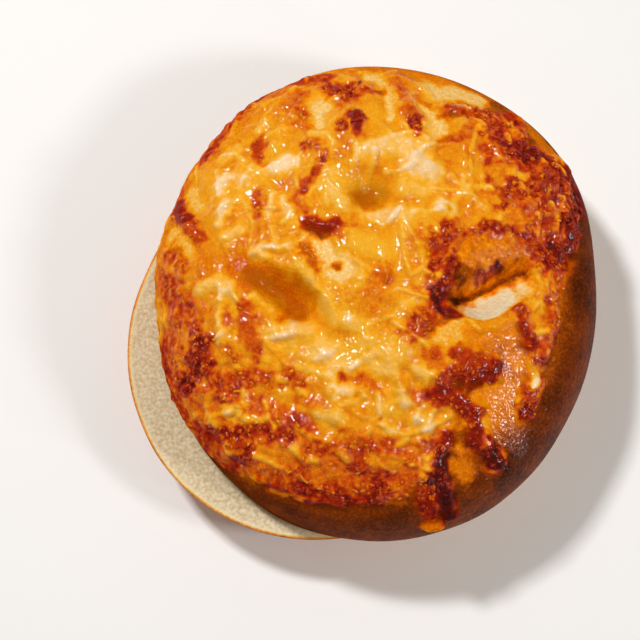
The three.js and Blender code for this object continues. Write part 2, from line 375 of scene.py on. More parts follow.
# %% Blanket, windows, fingers and drips
BLANKET_EDGE = [
    (0, 45), (4, 47), (12, 50), (19, 54), (26, 58), (33, 60), (38, 60), (41, 54), (45, 52), (47, 57),
    (52, 60), (56, 58), (60, 48), (68, 44), (74, 47), (80, 56), (90, 57),
    (101, 58), (113, 60), (132, 61), (153, 62), (184, 63), (203, 64), (222, 62), (235, 58), (250, 55),
    (264, 54), (275, 52), (288, 46), (296, 39), (305, 30), (320, 25), (334, 26), (346, 38),
]
WINDOWS = {
    "between the dimples": ([(312, 242), (326, 254), (340, 272)], 3.0, 0.13),
    "back rim, wide end": ([(318, 105), (327, 108)], 2.0, 0.14),
    "back rim, narrow end": ([(320, 104), (318, 126)], 1.5, 0.14),
    "back rim, middle": ([(372, 78), (384, 82), (388, 94)], 2.2, 0.16),
    "left of the back strand": ([(384, 88), (388, 106), (390, 124)], 1.0, 0.18),
    "right of the back strand": ([(425, 112), (432, 121), (438, 132)], 2.2, 0.16),
    "left rim, upper": ([(192, 190), (199, 208)], 1.9, 0.20),
    "left rim, lower": ([(174, 236), (188, 250)], 2.0, 0.22),
    "corner of the pocket": ([(440, 334), (456, 330)], 2.2, 0.16),
}
RUNS = {
    "front right finger": ([(420, 364), (456, 365), (488, 367)], 4.4, 1.0),
    "front right drip": ([(430, 393), (452, 398), (470, 411), (475, 424)], 2.8, 1.0),
    "foot of the front drip": ([(478, 434), (486, 447), (496, 460)], 3.1, 1.1),
    "long drip": ([(446, 434), (440, 458), (441, 480), (446, 500), (448, 514)], 2.6, 1.3),
    "lumps beside the long drip": ([(428, 470), (426, 494), (431, 512)], 3.0, 1.0),
    "bead on the long drip": ([(428, 525), (438, 523)], 2.4, 1.6),
    "strand below the pocket": ([(522, 310), (523, 320), (528, 334), (532, 350)], 2.0, 0.9),
    "lump right of the pocket": ([(544, 288), (552, 296)], 2.8, 1.0),
    "right strand": ([(556, 292), (553, 314), (546, 338), (541, 356)], 2.1, 0.8),
    "web between the strands": ([(536, 312), (540, 336), (535, 362)], 2.8, 0.5),
    "pale blob": ([(534, 374), (536, 384)], 2.0, 0.9),
    "end of the right strand": ([(536, 384), (531, 398), (527, 410)], 3.2, 0.9),
    "back strand": ([(392, 76), (399, 90), (408, 104), (413, 116), (420, 129)], 2.3, 0.9),
    "crescent band": ([(442, 113), (456, 110), (482, 111)], 2.2, 0.7),
}
EDGE_RAGGED = (2.4, 1.2)
EDGE_STEPS = 180


def blanket_outline():
    """The blanket's edge as a closed line of places on the crust."""
    turns = np.radians([turn for turn, _ in BLANKET_EDGE])
    round_turns = np.linspace(0, 2 * np.pi, EDGE_STEPS, endpoint=False)
    reach = np.interp(round_turns, turns, [float(arc) for _, arc in BLANKET_EDGE], period=2 * np.pi)
    return list(zip(reach * np.cos(round_turns), reach * np.sin(round_turns)))


def cheese_inside(x, y):
    """Distance in from the uneven edge of the blanket, minus outside."""
    ragged = EDGE_RAGGED[0] * wrinkles(x, y, 7, 3.1) + EDGE_RAGGED[1] * wrinkles(x, y, 2.6, 8.4)
    return signed_distance(x, y, blanket_outline()) + ragged


def window_distance(x, y):
    """Distance out from the nearest window, minus inside one."""
    shake = 1 + 0.7 * wrinkles(x, y, 2.8, 5.7)
    gaps = [(band_distance(x, y, pixels, half) - shake) * half for pixels, half, _ in WINDOWS.values()]
    return np.min(gaps, axis=0)


def near_runs(x, y):
    """Each finger or drip: distance from its middle, about 1 at its uneven edge, half width and height."""
    uneven = 1 + 0.6 * wrinkles(x, y, 3.0, 7.7)
    return [
        (band_distance(x, y, pixels, half) / uneven, half, height)
        for pixels, half, height in RUNS.values()
    ]


def cheese_cover(x, y, inside, window):
    """0 on bare crust, 1 under cheese, soft between."""
    cover = fade(inside, -0.6, 2.4) * fade(window, -1.0, 1.6)
    for near, _, _ in near_runs(x, y):
        cover = np.maximum(cover, 1 - fade(near, 0.5, 1.3))
    return cover * (1 - fade(pocket_inside(x, y), -0.3, 1.6))


print(len(RUNS), "fingers, drips and strands, and", len(WINDOWS), "windows of crust")

# %% [markdown]
# ## Relief of the cheese
# Grated cheese melts into lumps, but shreds keep some of their shape as soft ridges.
# Rather than thousands of separate strands, each shred is drawn as a ridge in the
# height of one blanket, because melted cheese has no gaps. Soft lumps, blisters and
# crumbs are read off the photo, each as a line of pixels with a half width, a height and
# a tone, and the shreds are strewn with a fixed seed. Near the rim they lie along it, as
# shreds that slid down the dome do.

# %% Lumps, blisters and crumbs
LUMPS = {
    "back lump": ([(416, 166), (434, 170)], 4.6, 1.2, 0.11),
    "back ridge": ([(364, 153), (382, 149), (408, 150)], 3.2, 0.8, 0.13),
    "left of the dimple": ([(328, 176), (330, 196), (342, 204)], 3.0, 0.5, 0.20),
    "under the back dimple": ([(372, 214), (404, 212)], 3.0, 0.6, 0.14),
    "right of the dimple": ([(442, 206), (450, 210)], 2.8, 1.0, 0.12),
    "middle of the back": ([(400, 186), (424, 190)], 3.0, 0.4, 0.22),
    # Partly painted highlight: the near-white tones of the left back lump and the left glint lump also stand
    # for broad soft reflections on them
    "left back lump": ([(276, 168), (290, 162)], 3.0, 1.1, 0.04),
    "left back streak": ([(222, 159), (236, 149)], 2.2, 0.5, 0.22),
    "left glint lump": ([(221, 190), (226, 178)], 2.2, 1.2, 0.04),
    "left glint lump, flank": ([(230, 176), (244, 180)], 2.0, 0.8, 0.16),
    "left soft streak": ([(228, 202), (221, 226)], 1.9, 0.8, 0.14),
    "left low streak": ([(226, 237), (242, 232)], 1.8, 0.7, 0.16),
    "middle left pair": ([(271, 196), (271, 212)], 1.4, 0.8, 0.14),
    "middle left pair, right": ([(284, 198), (290, 212)], 1.6, 0.8, 0.14),
    "shred over the fold": ([(252, 256), (260, 250), (272, 249)], 1.7, 1.4, 0.12),
    "shred over the fold, low": ([(256, 255), (268, 259)], 1.2, 0.9, 0.14),
    "thin shred over the fold": ([(277, 250), (295, 245)], 1.0, 0.8, 0.18),
    "left shoulder": ([(204, 289), (216, 285), (229, 289)], 2.3, 1.2, 0.18),
    "left shoulder, low": ([(222, 300), (226, 292)], 1.4, 0.9, 0.14),
    "left of the fold": ([(233, 292), (240, 303)], 1.2, 0.9, 0.16),
    "front of the fold": ([(256, 292), (270, 300), (276, 308)], 2.4, 0.8, 0.20),
    "yellow streak": ([(222, 318), (224, 342)], 1.7, 0.8, 0.20),
    "pale front of the fold": ([(272, 332), (296, 329), (308, 329)], 3.0, 0.9, 0.19),
    "right of the middle window": ([(352, 270), (360, 280)], 2.2, 0.5, 0.18),
    "soft middle, back": ([(348, 322), (363, 326)], 2.6, 0.7, 0.23),
    "soft middle": ([(318, 348), (350, 360)], 5.4, 0.7, 0.20),
    "soft middle, right": ([(366, 346), (398, 352)], 5.0, 0.6, 0.25),
    "streak in the middle": ([(350, 369), (362, 362), (374, 352)], 1.4, 0.5, 0.18),
    "pale lump in the middle": ([(330, 368), (342, 370)], 1.8, 0.6, 0.14),
    "bright streak in the middle": ([(316, 358), (330, 353)], 1.5, 0.6, 0.10),
    "pale right of the middle": ([(376, 366), (392, 372)], 2.2, 0.5, 0.16),
    "flat shred": ([(332, 392), (362, 391)], 2.0, 1.2, 0.13),
    "upright shred": ([(401, 385), (405, 402)], 2.6, 1.3, 0.14),
    "short shred": ([(416, 372), (434, 376)], 2.2, 1.2, 0.20),
    "front lump": ([(420, 419), (428, 424), (423, 442)], 2.5, 1.2, 0.20),
    "pale foot of the blanket": ([(431, 460), (422, 474)], 1.9, 1.0, 0.26),
    "front left glint": ([(231, 409), (239, 406)], 1.9, 1.2, 0.07),
    "front left ridge": ([(242, 414), (262, 420), (278, 418)], 1.8, 1.1, 0.24),
    "front middle lumps": ([(320, 414), (338, 418)], 2.4, 0.9, 0.19),
    "front middle shred": ([(384, 424), (392, 432)], 1.6, 0.9, 0.18),
    "bridge over the fold": ([(303, 268), (320, 290), (334, 318)], 2.8, 0.8, 0.22),
    "yellow between dimple and pocket": ([(352, 240), (380, 252)], 3.6, 0.4, 0.26),
    "front left clump": ([(226, 452), (236, 446)], 2.8, 1.5, 0.46),
    "back blister": ([(357, 120), (359, 131)], 2.1, 1.3, 0.50),
    "small back blister": ([(341, 131)], 1.4, 0.9, 0.46),
    "dark shred": ([(309, 225), (320, 228), (334, 225)], 2.2, 1.0, 0.50),
    "left rim blister": ([(181, 211), (185, 220), (189, 227)], 2.0, 0.9, 0.50),
}
CRUMBS = {
    "right rim, upper": ([(506, 136), (509, 144)], 0.8, 0.9, 0.46),
    "right rim, top": ([(503, 122), (506, 127)], 0.9, 0.8, 0.48),
    "right rim, middle": ([(540, 161), (543, 165)], 0.9, 0.9, 0.42),
    "right rim, row": ([(551, 166), (556, 171), (560, 176)], 0.9, 0.8, 0.48),
    "right slope, left": ([(519, 187), (525, 192)], 1.3, 0.8, 0.52),
    "right slope, low": ([(527, 203), (532, 207)], 1.2, 0.8, 0.52),
    "right slope, right": ([(548, 207), (555, 213)], 1.1, 0.9, 0.54),
    "crusty strand": ([(560, 200), (563, 210), (562, 218)], 0.8, 1.0, 0.42),
    "front rim, left": ([(275, 489), (284, 494)], 1.3, 1.0, 0.46),
    "front rim, right": ([(291, 491), (302, 498)], 1.3, 1.0, 0.54),
    "front row": ([(255, 475), (265, 478)], 1.1, 0.9, 0.45),
    "front glint": ([(312, 458), (318, 460)], 1.3, 0.9, 0.38),
    "front orange lump": ([(342, 452), (346, 460)], 1.6, 1.0, 0.46),
}


def lump_height(x, y):
    """Height of the lumps, blisters and crumbs together."""
    total = np.zeros_like(x)
    for pixels, half, height, _ in [*LUMPS.values(), *CRUMBS.values()]:
        total += height * (1 - np.minimum(band_distance(x, y, pixels, half), 1) ** 2) ** 2
    return total


print(len(LUMPS), "lumps and blisters and", len(CRUMBS), "crumbs")

# %% [markdown]
# Shreds don't show where the film ran smooth, as in the hollows and on the drips. Each of
# these places is a line of pixels, a half width and the share of roughness that is left.

# %% Shreds, and where the film ran smooth
COARSE_SHREDS = {"count": 300, "reach": (2.5, 6.5), "half": (0.8, 1.35), "height": (0.3, 0.85)}
FINE_SHREDS = {"count": 1500, "reach": (1.2, 4.5), "half": (0.4, 0.7), "height": (0.12, 0.38)}
SHRED_SEED = 11
SHRED_REACH, SLID_FROM = 64, 36
LEAN_ON_TOP, LEAN_AT_RIM = 1.6, 0.5
SMOOTH_FILM = {
    "wall of the fold": ([(246, 264), (270, 276), (298, 292)], 4.6, 0.2),
    "left of the fold": ([(212, 266), (226, 270)], 2.2, 0.5),
    "bridge over the fold": ([(306, 272), (320, 290), (332, 314)], 3.0, 0.2),
    "slope between dimple and pocket": ([(356, 236), (384, 244)], 4.0, 0.2),
    "back dimple": ([(360, 188), (374, 192)], 4.0, 0.2),
    "orange film at the back": ([(372, 112), (376, 134)], 2.4, 0.2),
    "left film": ([(206, 176), (208, 240), (216, 262)], 2.2, 0.2),
    "left glassy streak": ([(242, 318), (250, 340)], 2.6, 0.2),
    "back blister": ([(356, 116), (361, 121), (358, 133)], 2.8, 0.2),
    "dark shred": ([(306, 218), (316, 226), (334, 222)], 3.0, 0.2),
    "left rim blister": ([(180, 210), (184, 220), (190, 228)], 2.6, 0.2),
    "left back spot": ([(256, 142), (259, 156)], 2.4, 0.2),
    "middle dot": ([(343, 377)], 2.0, 0.2),
    "finger": ([(436, 348), (470, 355), (492, 365), (474, 379), (446, 388)], 2.4, 0.6),
    "front right drip": ([(436, 395), (466, 408), (476, 424), (487, 449), (495, 459)], 2.4, 0.6),
    "long drip": ([(446, 436), (440, 458), (443, 486), (448, 512)], 2.2, 0.6),
    "strand below the pocket": ([(522, 312), (528, 334), (532, 348)], 1.8, 0.6),
}


def strew_shreds(kind):
    """Bent lines strewn over the dome, each with a half width and a height."""
    draw = np.random.default_rng(SHRED_SEED)
    shreds = []
    for _ in range(kind["count"]):
        turn, arc = draw.uniform(0, 2 * math.pi), SHRED_REACH * math.sqrt(draw.random())
        lean = draw.normal(turn + math.pi / 2, LEAN_AT_RIM if arc > SLID_FROM else LEAN_ON_TOP)
        middle = arc * np.array([math.cos(turn), math.sin(turn)])
        along = draw.uniform(*kind["reach"]) * np.array([math.cos(lean), math.sin(lean)])
        across = np.array([-along[1], along[0]]) * draw.uniform(-0.4, 0.4)
        path = [middle - along, middle + across, middle + along]
        shreds.append((path, draw.uniform(*kind["half"]), draw.uniform(*kind["height"])))
    return shreds


def shred_ridges(x, y, kind):
    """Height of the highest strewn shred at each place, and how much lighter it is than the film."""
    ridge, light = np.zeros_like(x), np.zeros_like(x)
    draw = np.random.default_rng(SHRED_SEED + 1)
    for path, half, height in strew_shreds(kind):
        low, high = np.min(path, axis=0) - half, np.max(path, axis=0) + half
        near = np.nonzero((x > low[0]) & (x < high[0]) & (y > low[1]) & (y < high[1]))[0]
        profile = np.clip(1 - (path_distance(x[near], y[near], path) / half) ** 2, 0, 1) ** 1.5
        higher = height * profile > ridge[near]
        ridge[near] = np.where(higher, height * profile, ridge[near])
        light[near] = np.where(higher, draw.uniform(-0.4, 1.1) * profile, light[near])
    return ridge, light


def film_roughness(x, y):
    """1 where shreds show, falling to what is left where the film ran smooth."""
    rough = np.ones_like(x)
    for pixels, half, left in SMOOTH_FILM.values():
        rough = np.minimum(rough, left + (1 - left) * fade(band_distance(x, y, pixels, half), 0.6, 1.4))
    return rough


print(COARSE_SHREDS["count"], "coarse and", FINE_SHREDS["count"], "fine shreds")

# %% [markdown]
# ## Heat of the oven
# Cheese browns where it is thin, near the rim and where fat pools. Crust and cheese
# share one tone, from 0, soft cream, over gold at a third and orange at a half to 1,
# burnt. Browned bands and blisters are read off the photo as lines, each with a half
# width in millimetres and the tone that it ends at. A few of these lines, in a hollow
# and at the left end of the pocket, are painted shade.

# %% Browned bands and blisters, and painted shade
BROWNED_AND_SHADED = {
    "right side": ([(510, 116), (533, 155), (547, 198), (556, 240)], 10.2, 0.61),
    "front side": ([(246, 468), (300, 484), (350, 484), (410, 486)], 7.5, 0.53),
    "front left side": ([(172, 352), (190, 408), (224, 452)], 5.0, 0.56),
    "back left rim": ([(206, 160), (244, 116), (298, 80)], 1.8, 0.60),
    "back rim, left": ([(296, 84), (306, 82), (322, 80)], 3.0, 0.60),
    "beside the back window": ([(298, 98), (300, 112), (306, 126)], 2.0, 0.51),
    "back rim patch": ([(328, 92), (338, 91), (350, 91), (347, 97)], 2.1, 0.68),
    "burnt speck": ([(361, 88)], 0.7, 0.98),
    "tail of the burnt speck": ([(360, 92), (377, 95)], 1.3, 0.60),
    "back blister": ([(357, 121), (360, 126), (358, 133)], 1.6, 0.82),
    "small back blister": ([(341, 131)], 1.4, 0.70),
    "left back spot": ([(256, 142), (259, 156)], 1.8, 0.66),
    "arc": ([(306, 147), (318, 146), (326, 154), (318, 166), (308, 180), (303, 194)], 1.4, 0.59),
    "foot of the arc": ([(297, 198), (304, 204)], 1.7, 0.52),
    "dark shred": ([(309, 227), (320, 229), (335, 226)], 2.1, 0.75),
    "left rim blister": ([(180, 208), (183, 216), (187, 223)], 1.9, 0.80),
    "tail of the left blister": ([(190, 228), (202, 237)], 1.6, 0.60),
    "left streak": ([(256, 192), (258, 215)], 1.3, 0.55),
    "left rim spot": ([(172, 256), (186, 265)], 2.0, 0.56),
    "wall of the fold": ([(244, 264), (263, 276), (279, 289), (294, 303)], 3.3, 0.49),
    "edge of the middle window": ([(302, 246), (308, 256), (317, 269)], 1.3, 0.56),
    "speck in the middle window": ([(339, 266)], 0.9, 0.66),
    "strand on the back": ([(396, 84), (401, 93), (406, 106), (409, 117)], 1.6, 0.50),
    "end of the strand": ([(409, 125), (415, 134)], 1.4, 0.72),
    "band at the crescent": ([(446, 115), (458, 113), (472, 112), (488, 113)], 1.7, 0.64),
    "below the back strand": ([(440, 145), (450, 142), (462, 137)], 1.4, 0.56),
    "right rim crags": ([(498, 105), (508, 112), (517, 124)], 2.4, 0.70),
    "right red patch": ([(499, 135), (508, 146)], 2.2, 0.64),
    "darkest at the right": ([(512, 148), (530, 154), (548, 162), (560, 178)], 2.8, 0.80),
    "right slope": ([(514, 188), (530, 191), (550, 196)], 3.4, 0.70),
    "right rim": ([(556, 190), (568, 206), (570, 228)], 2.2, 0.74),
    "outer right rim": ([(556, 164), (570, 184), (579, 208), (582, 236)], 3.0, 0.84),
    "low on the right rim": ([(571, 230), (571, 252)], 2.2, 0.86),
    "right inner patch": ([(489, 150), (499, 156)], 1.8, 0.60),
    "above the pocket": ([(436, 236), (458, 239), (480, 234), (494, 225), (506, 233)], 1.8, 0.64),
    "dark above the pocket": ([(492, 227), (500, 231)], 1.5, 0.74),
    # Painted shade: the left rim inside the pocket is darkened for the shade under the flap
    "shade on the left inner rim of the pocket": ([(447, 296), (448, 284), (455, 268)], 1.8, 0.72),
    "left edge of the pocket": ([(444, 230), (442, 246), (435, 262)], 2.1, 0.68),
    "ridge left of the pocket": ([(454, 258), (446, 270), (441, 281)], 1.4, 0.72),
    # Painted shade: the corner at the pocket's left end is darkened for its shadow
    "shaded corner of the pocket": ([(437, 294), (440, 306), (448, 312), (456, 316)], 1.9, 0.86),
    "left of the pocket": ([(432, 288), (435, 306), (427, 323)], 2.4, 0.60),
    "right of the middle": ([(380, 270), (390, 276)], 1.5, 0.48),
    "edge left of the pocket": ([(417, 292), (426, 296)], 1.5, 0.49),
    "high left of the pocket": ([(417, 240), (428, 246)], 1.8, 0.48),
    "right corner of the pocket": ([(524, 244), (540, 246), (556, 250)], 2.4, 0.66),
    "right clump": ([(552, 246), (560, 254), (553, 261)], 2.0, 0.82),
    "glow right of the pocket": ([(556, 266), (566, 290)], 3.0, 0.54),
    "strand below the pocket": ([(521, 312), (523, 322), (528, 334), (530, 346)], 1.8, 0.72),
    "lump right of the pocket": ([(540, 292), (552, 302)], 2.0, 0.62),
    "right strand": ([(556, 294), (553, 314), (546, 338)], 2.0, 0.56),
    "above the pale blob": ([(533, 358), (539, 362)], 1.3, 0.62),
    "low on the right strand": ([(557, 330), (554, 350), (547, 362)], 1.6, 0.70),
    "end of the right strand": ([(536, 386), (531, 400)], 2.6, 0.70),
    "dark end of the right strand": ([(524, 408), (534, 414)], 2.0, 0.80),
    "below the corner": ([(410, 330), (428, 330), (437, 328)], 2.1, 0.62),
    "top of the finger": ([(454, 353), (474, 356), (492, 361)], 1.6, 0.64),
    "root of the finger": ([(428, 353), (438, 354)], 1.6, 0.54),
    "under the finger": ([(438, 379), (450, 380)], 1.6, 0.64),
    "root of the front drip": ([(418, 395), (432, 394)], 1.6, 0.52),
    "middle of the finger": ([(452, 373), (466, 368), (480, 368)], 2.4, 0.66),
    "tip of the finger": ([(498, 365), (490, 374), (474, 379)], 2.2, 0.82),
    "foot of the finger": ([(472, 383), (454, 384), (440, 392)], 2.2, 0.76),
    "front right drip": ([(432, 394), (450, 398), (466, 407), (475, 416)], 2.3, 0.73),
    "neck of the front drip": ([(475, 416), (474, 424), (479, 436)], 1.8, 0.68),
    "foot of the front drip": ([(477, 440), (482, 450), (492, 457)], 2.7, 0.80),
    "tip of the front drip": ([(493, 458), (501, 463)], 2.2, 0.94),
    "joint of the drips": ([(449, 440), (443, 448), (440, 457)], 2.0, 0.80),
    "between the drips": ([(452, 439), (464, 438), (474, 437)], 1.8, 0.70),
    "long drip": ([(440, 460), (441, 480), (445, 494), (448, 513)], 2.4, 0.93),
    "beside the long drip": ([(430, 480), (426, 497), (431, 513)], 2.6, 0.72),
    "front patch": ([(352, 446), (361, 455), (350, 464)], 2.3, 0.64),
    "front patch, right": ([(376, 464), (388, 474)], 2.0, 0.61),
    "front, upper edge": ([(312, 445), (330, 445), (366, 442), (394, 450)], 2.5, 0.57),
    "front left, dark": ([(300, 484), (312, 488), (334, 492)], 1.6, 0.74),
    "dark front row": ([(264, 482), (276, 484)], 1.5, 0.72),
    "front band, dark": ([(371, 483), (383, 487)], 1.7, 0.70),
    "left of the pale foot": ([(409, 462), (422, 460)], 1.6, 0.55),
    "front, right corner": ([(426, 451), (431, 456)], 1.5, 0.56),
    "front left edge, high": ([(213, 412), (221, 412)], 1.6, 0.54),
    "right end of the left film": ([(300, 396), (309, 398)], 1.5, 0.50),
    "left front film": ([(246, 401), (268, 410), (306, 424)], 2.2, 0.52),
    "front rim": ([(296, 498), (350, 505), (410, 509)], 3.2, 0.78),
    "left dark patch": ([(206, 340), (203, 354), (196, 372), (188, 388)], 2.6, 0.78),
    "left glassy streak": ([(246, 306), (248, 316), (251, 338), (254, 352)], 2.0, 0.58),
    "low on the left red patch": ([(220, 396), (232, 398)], 1.8, 0.58),
    "top of the left dark patch": ([(198, 326), (204, 336)], 1.8, 0.64),
    "left red patch": ([(214, 382), (230, 385), (246, 377), (263, 379)], 2.4, 0.60),
    "left speckle": ([(172, 294), (180, 304), (187, 312)], 4.0, 0.58),
    "left front rim": ([(166, 352), (176, 388), (188, 414)], 2.3, 0.66),
    "front left line": ([(206, 430), (230, 431), (250, 427), (290, 435)], 2.0, 0.70),
    "front left edge": ([(204, 436), (214, 456), (236, 474)], 1.9, 0.70),
    "front left dark": ([(236, 463), (246, 456), (252, 447)], 1.6, 0.74),
    "front left band": ([(246, 462), (272, 470), (302, 474), (346, 466)], 3.6, 0.51),
    "front left spot": ([(284, 464), (302, 470)], 1.5, 0.58),
    "front lumps": ([(266, 490), (300, 502)], 2.4, 0.70),
    "middle dot": ([(343, 377)], 1.3, 0.66),
    "right of the middle dot": ([(361, 378), (370, 383), (378, 388)], 1.3, 0.49),
    "middle left spot": ([(288, 376), (294, 380)], 1.9, 0.60),
    # Painted shade: the bottom of the back dimple is darkened for the shade that falls in it
    "shade at the bottom of the back dimple": ([(360, 196), (372, 196)], 2.4, 0.46),
    "amber, middle front": ([(318, 405), (330, 407)], 1.7, 0.43),
    "amber right of the middle front": ([(364, 389), (371, 392)], 1.4, 0.43),
    "amber, right front": ([(402, 381), (410, 394), (419, 409)], 1.5, 0.43),
    "amber at the back rim": ([(420, 102), (428, 106)], 1.4, 0.47),
    "amber, right back": ([(437, 160), (446, 163), (459, 187)], 1.5, 0.40),
    "hollow of the fold": ([(246, 282), (254, 287)], 1.8, 0.50),
    "amber beside the middle": ([(336, 230), (343, 236)], 1.5, 0.53),
    "amber left of the fold": ([(231, 350), (237, 356)], 1.5, 0.53),
    "dark, left front": ([(290, 422), (299, 424)], 1.6, 0.63),
    "dark above the long drip": ([(428, 440), (434, 446)], 1.6, 0.60),
    "dark, left front rim": ([(237, 441), (246, 444)], 1.4, 0.68),
    "amber beside the streak": ([(227, 323), (233, 328)], 1.6, 0.50),
    "upper end of the fold": ([(238, 264), (247, 268)], 1.6, 0.54),
}
print(len(BROWNED_AND_SHADED), "browned bands and blisters")

# %% [markdown]
# A second list lightens what stayed gold between the browned bands, and the bare crust
# bakes darker down the side and beside a drip. Noise shifts the places a little, so that
# no band has a drawn edge, and breaks up what is browned.

# %% Golden places, and the tone of any place
LEFT_GOLD = {
    "yellow slot at the right": ([(512, 172), (524, 176)], 1.5, 0.36),
    "inside of the finger": ([(430, 366), (446, 366)], 1.4, 0.48),
    "inside of the arc": ([(310, 158), (306, 170)], 1.4, 0.30),
    "front gold, left": ([(268, 450), (286, 456)], 2.2, 0.42),
    "front gold, middle": ([(320, 470), (340, 471)], 2.2, 0.46),
    "yellow end of the pocket": ([(538, 276), (539, 290)], 1.9, 0.30),
    "front gold, right": ([(374, 458), (392, 463)], 2.0, 0.45),
    "pale blob": ([(535, 376), (536, 384)], 1.3, 0.16),
    "corner of the pocket": ([(442, 332), (456, 329)], 1.7, 0.24),
    "low on the left rim": ([(191, 402), (197, 410)], 1.6, 0.46),
    "bead on the long drip": ([(428, 525), (438, 523)], 2.0, 0.46),
    "golden crust below the finger": ([(479, 397), (490, 398), (502, 391)], 2.2, 0.38),
    "golden crust below the pocket": ([(470, 336), (490, 328), (506, 322)], 2.6, 0.40),
    "golden crust between the drips": ([(460, 462), (464, 474)], 2.2, 0.47),
    "amber at the right edge": ([(518, 117), (532, 130), (545, 146), (553, 157)], 3.4, 0.50),
    "far rim of the pocket": ([(460, 248), (470, 242), (488, 238), (508, 241), (522, 248)], 1.8, 0.47),
    "crescent at the back": ([(430, 88), (438, 97), (456, 92), (478, 100)], 3.2, 0.16),
    "pale spot, left front": ([(232, 408), (240, 411)], 1.5, 0.28),
    "pale below the fold": ([(275, 343), (290, 345), (304, 342)], 1.5, 0.25),
    "pale below the arc": ([(328, 149), (334, 152)], 1.4, 0.30),
    "pale left of the middle": ([(350, 285), (357, 288)], 1.5, 0.27),
    "gold at the front edge": ([(388, 500), (400, 501)], 1.5, 0.60),
    "light streak in the fold": ([(266, 297), (276, 301)], 1.5, 0.40),
    "light right of the fold": ([(302, 292), (312, 297)], 1.7, 0.42),
    "low in the fold": ([(294, 311), (300, 315)], 1.4, 0.46),
    "pale at the left back": ([(242, 137), (248, 140)], 1.4, 0.32),
}
GOLD, RIM_GAIN = 0.345, 0.10
CRUST_GOLD, FLANK_GAIN, BESIDE_RUNS = 0.39, 0.44, 0.47
DARKEST_WAY = math.radians(-10)
FLANK_START, FLANK_RUN = 46, 13
EARLIER_AT_DARK, LATER_AT_BACK = 9, 10
SHIFT = 0.9


def crust_bake(x, y):
    """How brown the bare crust is: golden on top, darkest low at the front right."""
    arc, turn = np.hypot(x, y), np.arctan2(y, x)
    dark_side = np.cos(turn - DARKEST_WAY)
    start = FLANK_START - EARLIER_AT_DARK * dark_side + LATER_AT_BACK * fade(np.sin(turn), 0.65, 0.9)
    bake = CRUST_GOLD + FLANK_GAIN * (1 + 0.1 * dark_side) * fade(arc, start, start + FLANK_RUN)
    return bake + 0.12 * wrinkles(x, y, 9, 1.1) + 0.08 * wrinkles(x, y, 2.4, 3.6)


def baked_tone(x, y, cover, rough):
    """How brown crust or cheese is, 0 to 1, for places, the share of cheese and its roughness."""
    sx = x + SHIFT * wrinkles(x, y, 5.0, 1.3) + SHIFT * wrinkles(x, y, 1.6, 7.3)
    sy = y + SHIFT * wrinkles(x, y, 5.0, 6.2) + SHIFT * wrinkles(x, y, 1.6, 2.6)
    tone = GOLD + RIM_GAIN * toward_rim(x, y, 42, 60) + 0.14 * wrinkles(x, y, 9, 2.2)
    for pixels, half, _, end in LUMPS.values():
        tone += (end - tone) * on_band(sx, sy, pixels, half, 0.3, 1.1)
    crust = crust_bake(x, y)
    uneven = 1 + 0.6 * wrinkles(x, y, 3.4, 6.8) + 0.4 * wrinkles(x, y, 1.5, 0.4)
    for pixels, half, _ in RUNS.values():
        crust += np.maximum(BESIDE_RUNS - crust, 0) * on_band(sx, sy, pixels, half, 0.8, 2.2, uneven)
    for pixels, half, end in WINDOWS.values():
        crust += (end - crust) * on_band(sx, sy, pixels, half, 0.9, 1.8)
    tone = crust + (tone - crust) * cover
    for pixels, half, end in BROWNED_AND_SHADED.values():
        tone += np.maximum(end - tone, 0) * on_band(sx, sy, pixels, half, 0.3, 1.6, uneven)
    for pixels, half, end in LEFT_GOLD.values():
        tone += (end - tone) * on_band(sx, sy, pixels, half, 0.5, 1.3)
    for pixels, half, _, end in CRUMBS.values():
        tone += (end - tone) * on_band(sx, sy, pixels, half, 0.4, 1.2)
    browned = fade(tone, 0.42, 0.62)
    mottle = (0.06 + 0.05 * browned) * wrinkles(x, y, 2.3, 4.8)
    mottle += (0.06 + 0.14 * browned) * wrinkles(x, y, 1.1, 9.9)
    return np.clip(tone + cover * rough * mottle, 0, 1)


print(len(LEFT_GOLD), "places that stayed gold")

# %% [markdown]
# ## Meshes
# One function turns points, faces and arrays of values into a mesh. The values become
# attributes on the points, which the materials read as colour.

# %% Mesh from arrays
def make_piece(name, points, faces, values):
    """A smooth object from points in millimetres, with an attribute for each list of values."""
    mesh = bpy.data.meshes.new(name)
    mesh.from_pydata((points * MM).tolist(), [], [list(map(int, face)) for face in faces])
    for key, numbers in values.items():
        mesh.attributes.new(key, "FLOAT", "POINT").data.foreach_set("value", np.asarray(numbers, np.float32))
    mesh.shade_smooth()
    mesh.validate()
    piece = bpy.data.objects.new(name, mesh)
    scene.collection.objects.link(piece)
    triangles = sum(len(face) - 2 for face in faces)
    print(f"{name}: {len(points)} points, {triangles} triangles")
    return piece


# %% [markdown]
# ## The melted cheese
# The blanket is a closed shell: an upper sheet at the cheese's height, a lower sheet
# just under the crust's skin, and a strip that joins them round every edge. The blanket
# thins out towards its edge and its windows, while fingers and drips are rounded, as
# surface tension leaves them. The lower sheet is never seen, so a Decimate modifier thins
# that sheet alone and leaves the triangles for the relief on top.

# %% Height of the cheese
FILM_THICKNESS = 0.7
EDGE_FEATHER, WINDOW_FEATHER = 3.2, 2.6
OUTER_SLOPE = 0.3
SUNK = 0.35
LIP_CAP, LIP_DROP = 4.0, 4.3
RUN_RELIEF, RUN_ROUNDNESS = 0.6, 1.3


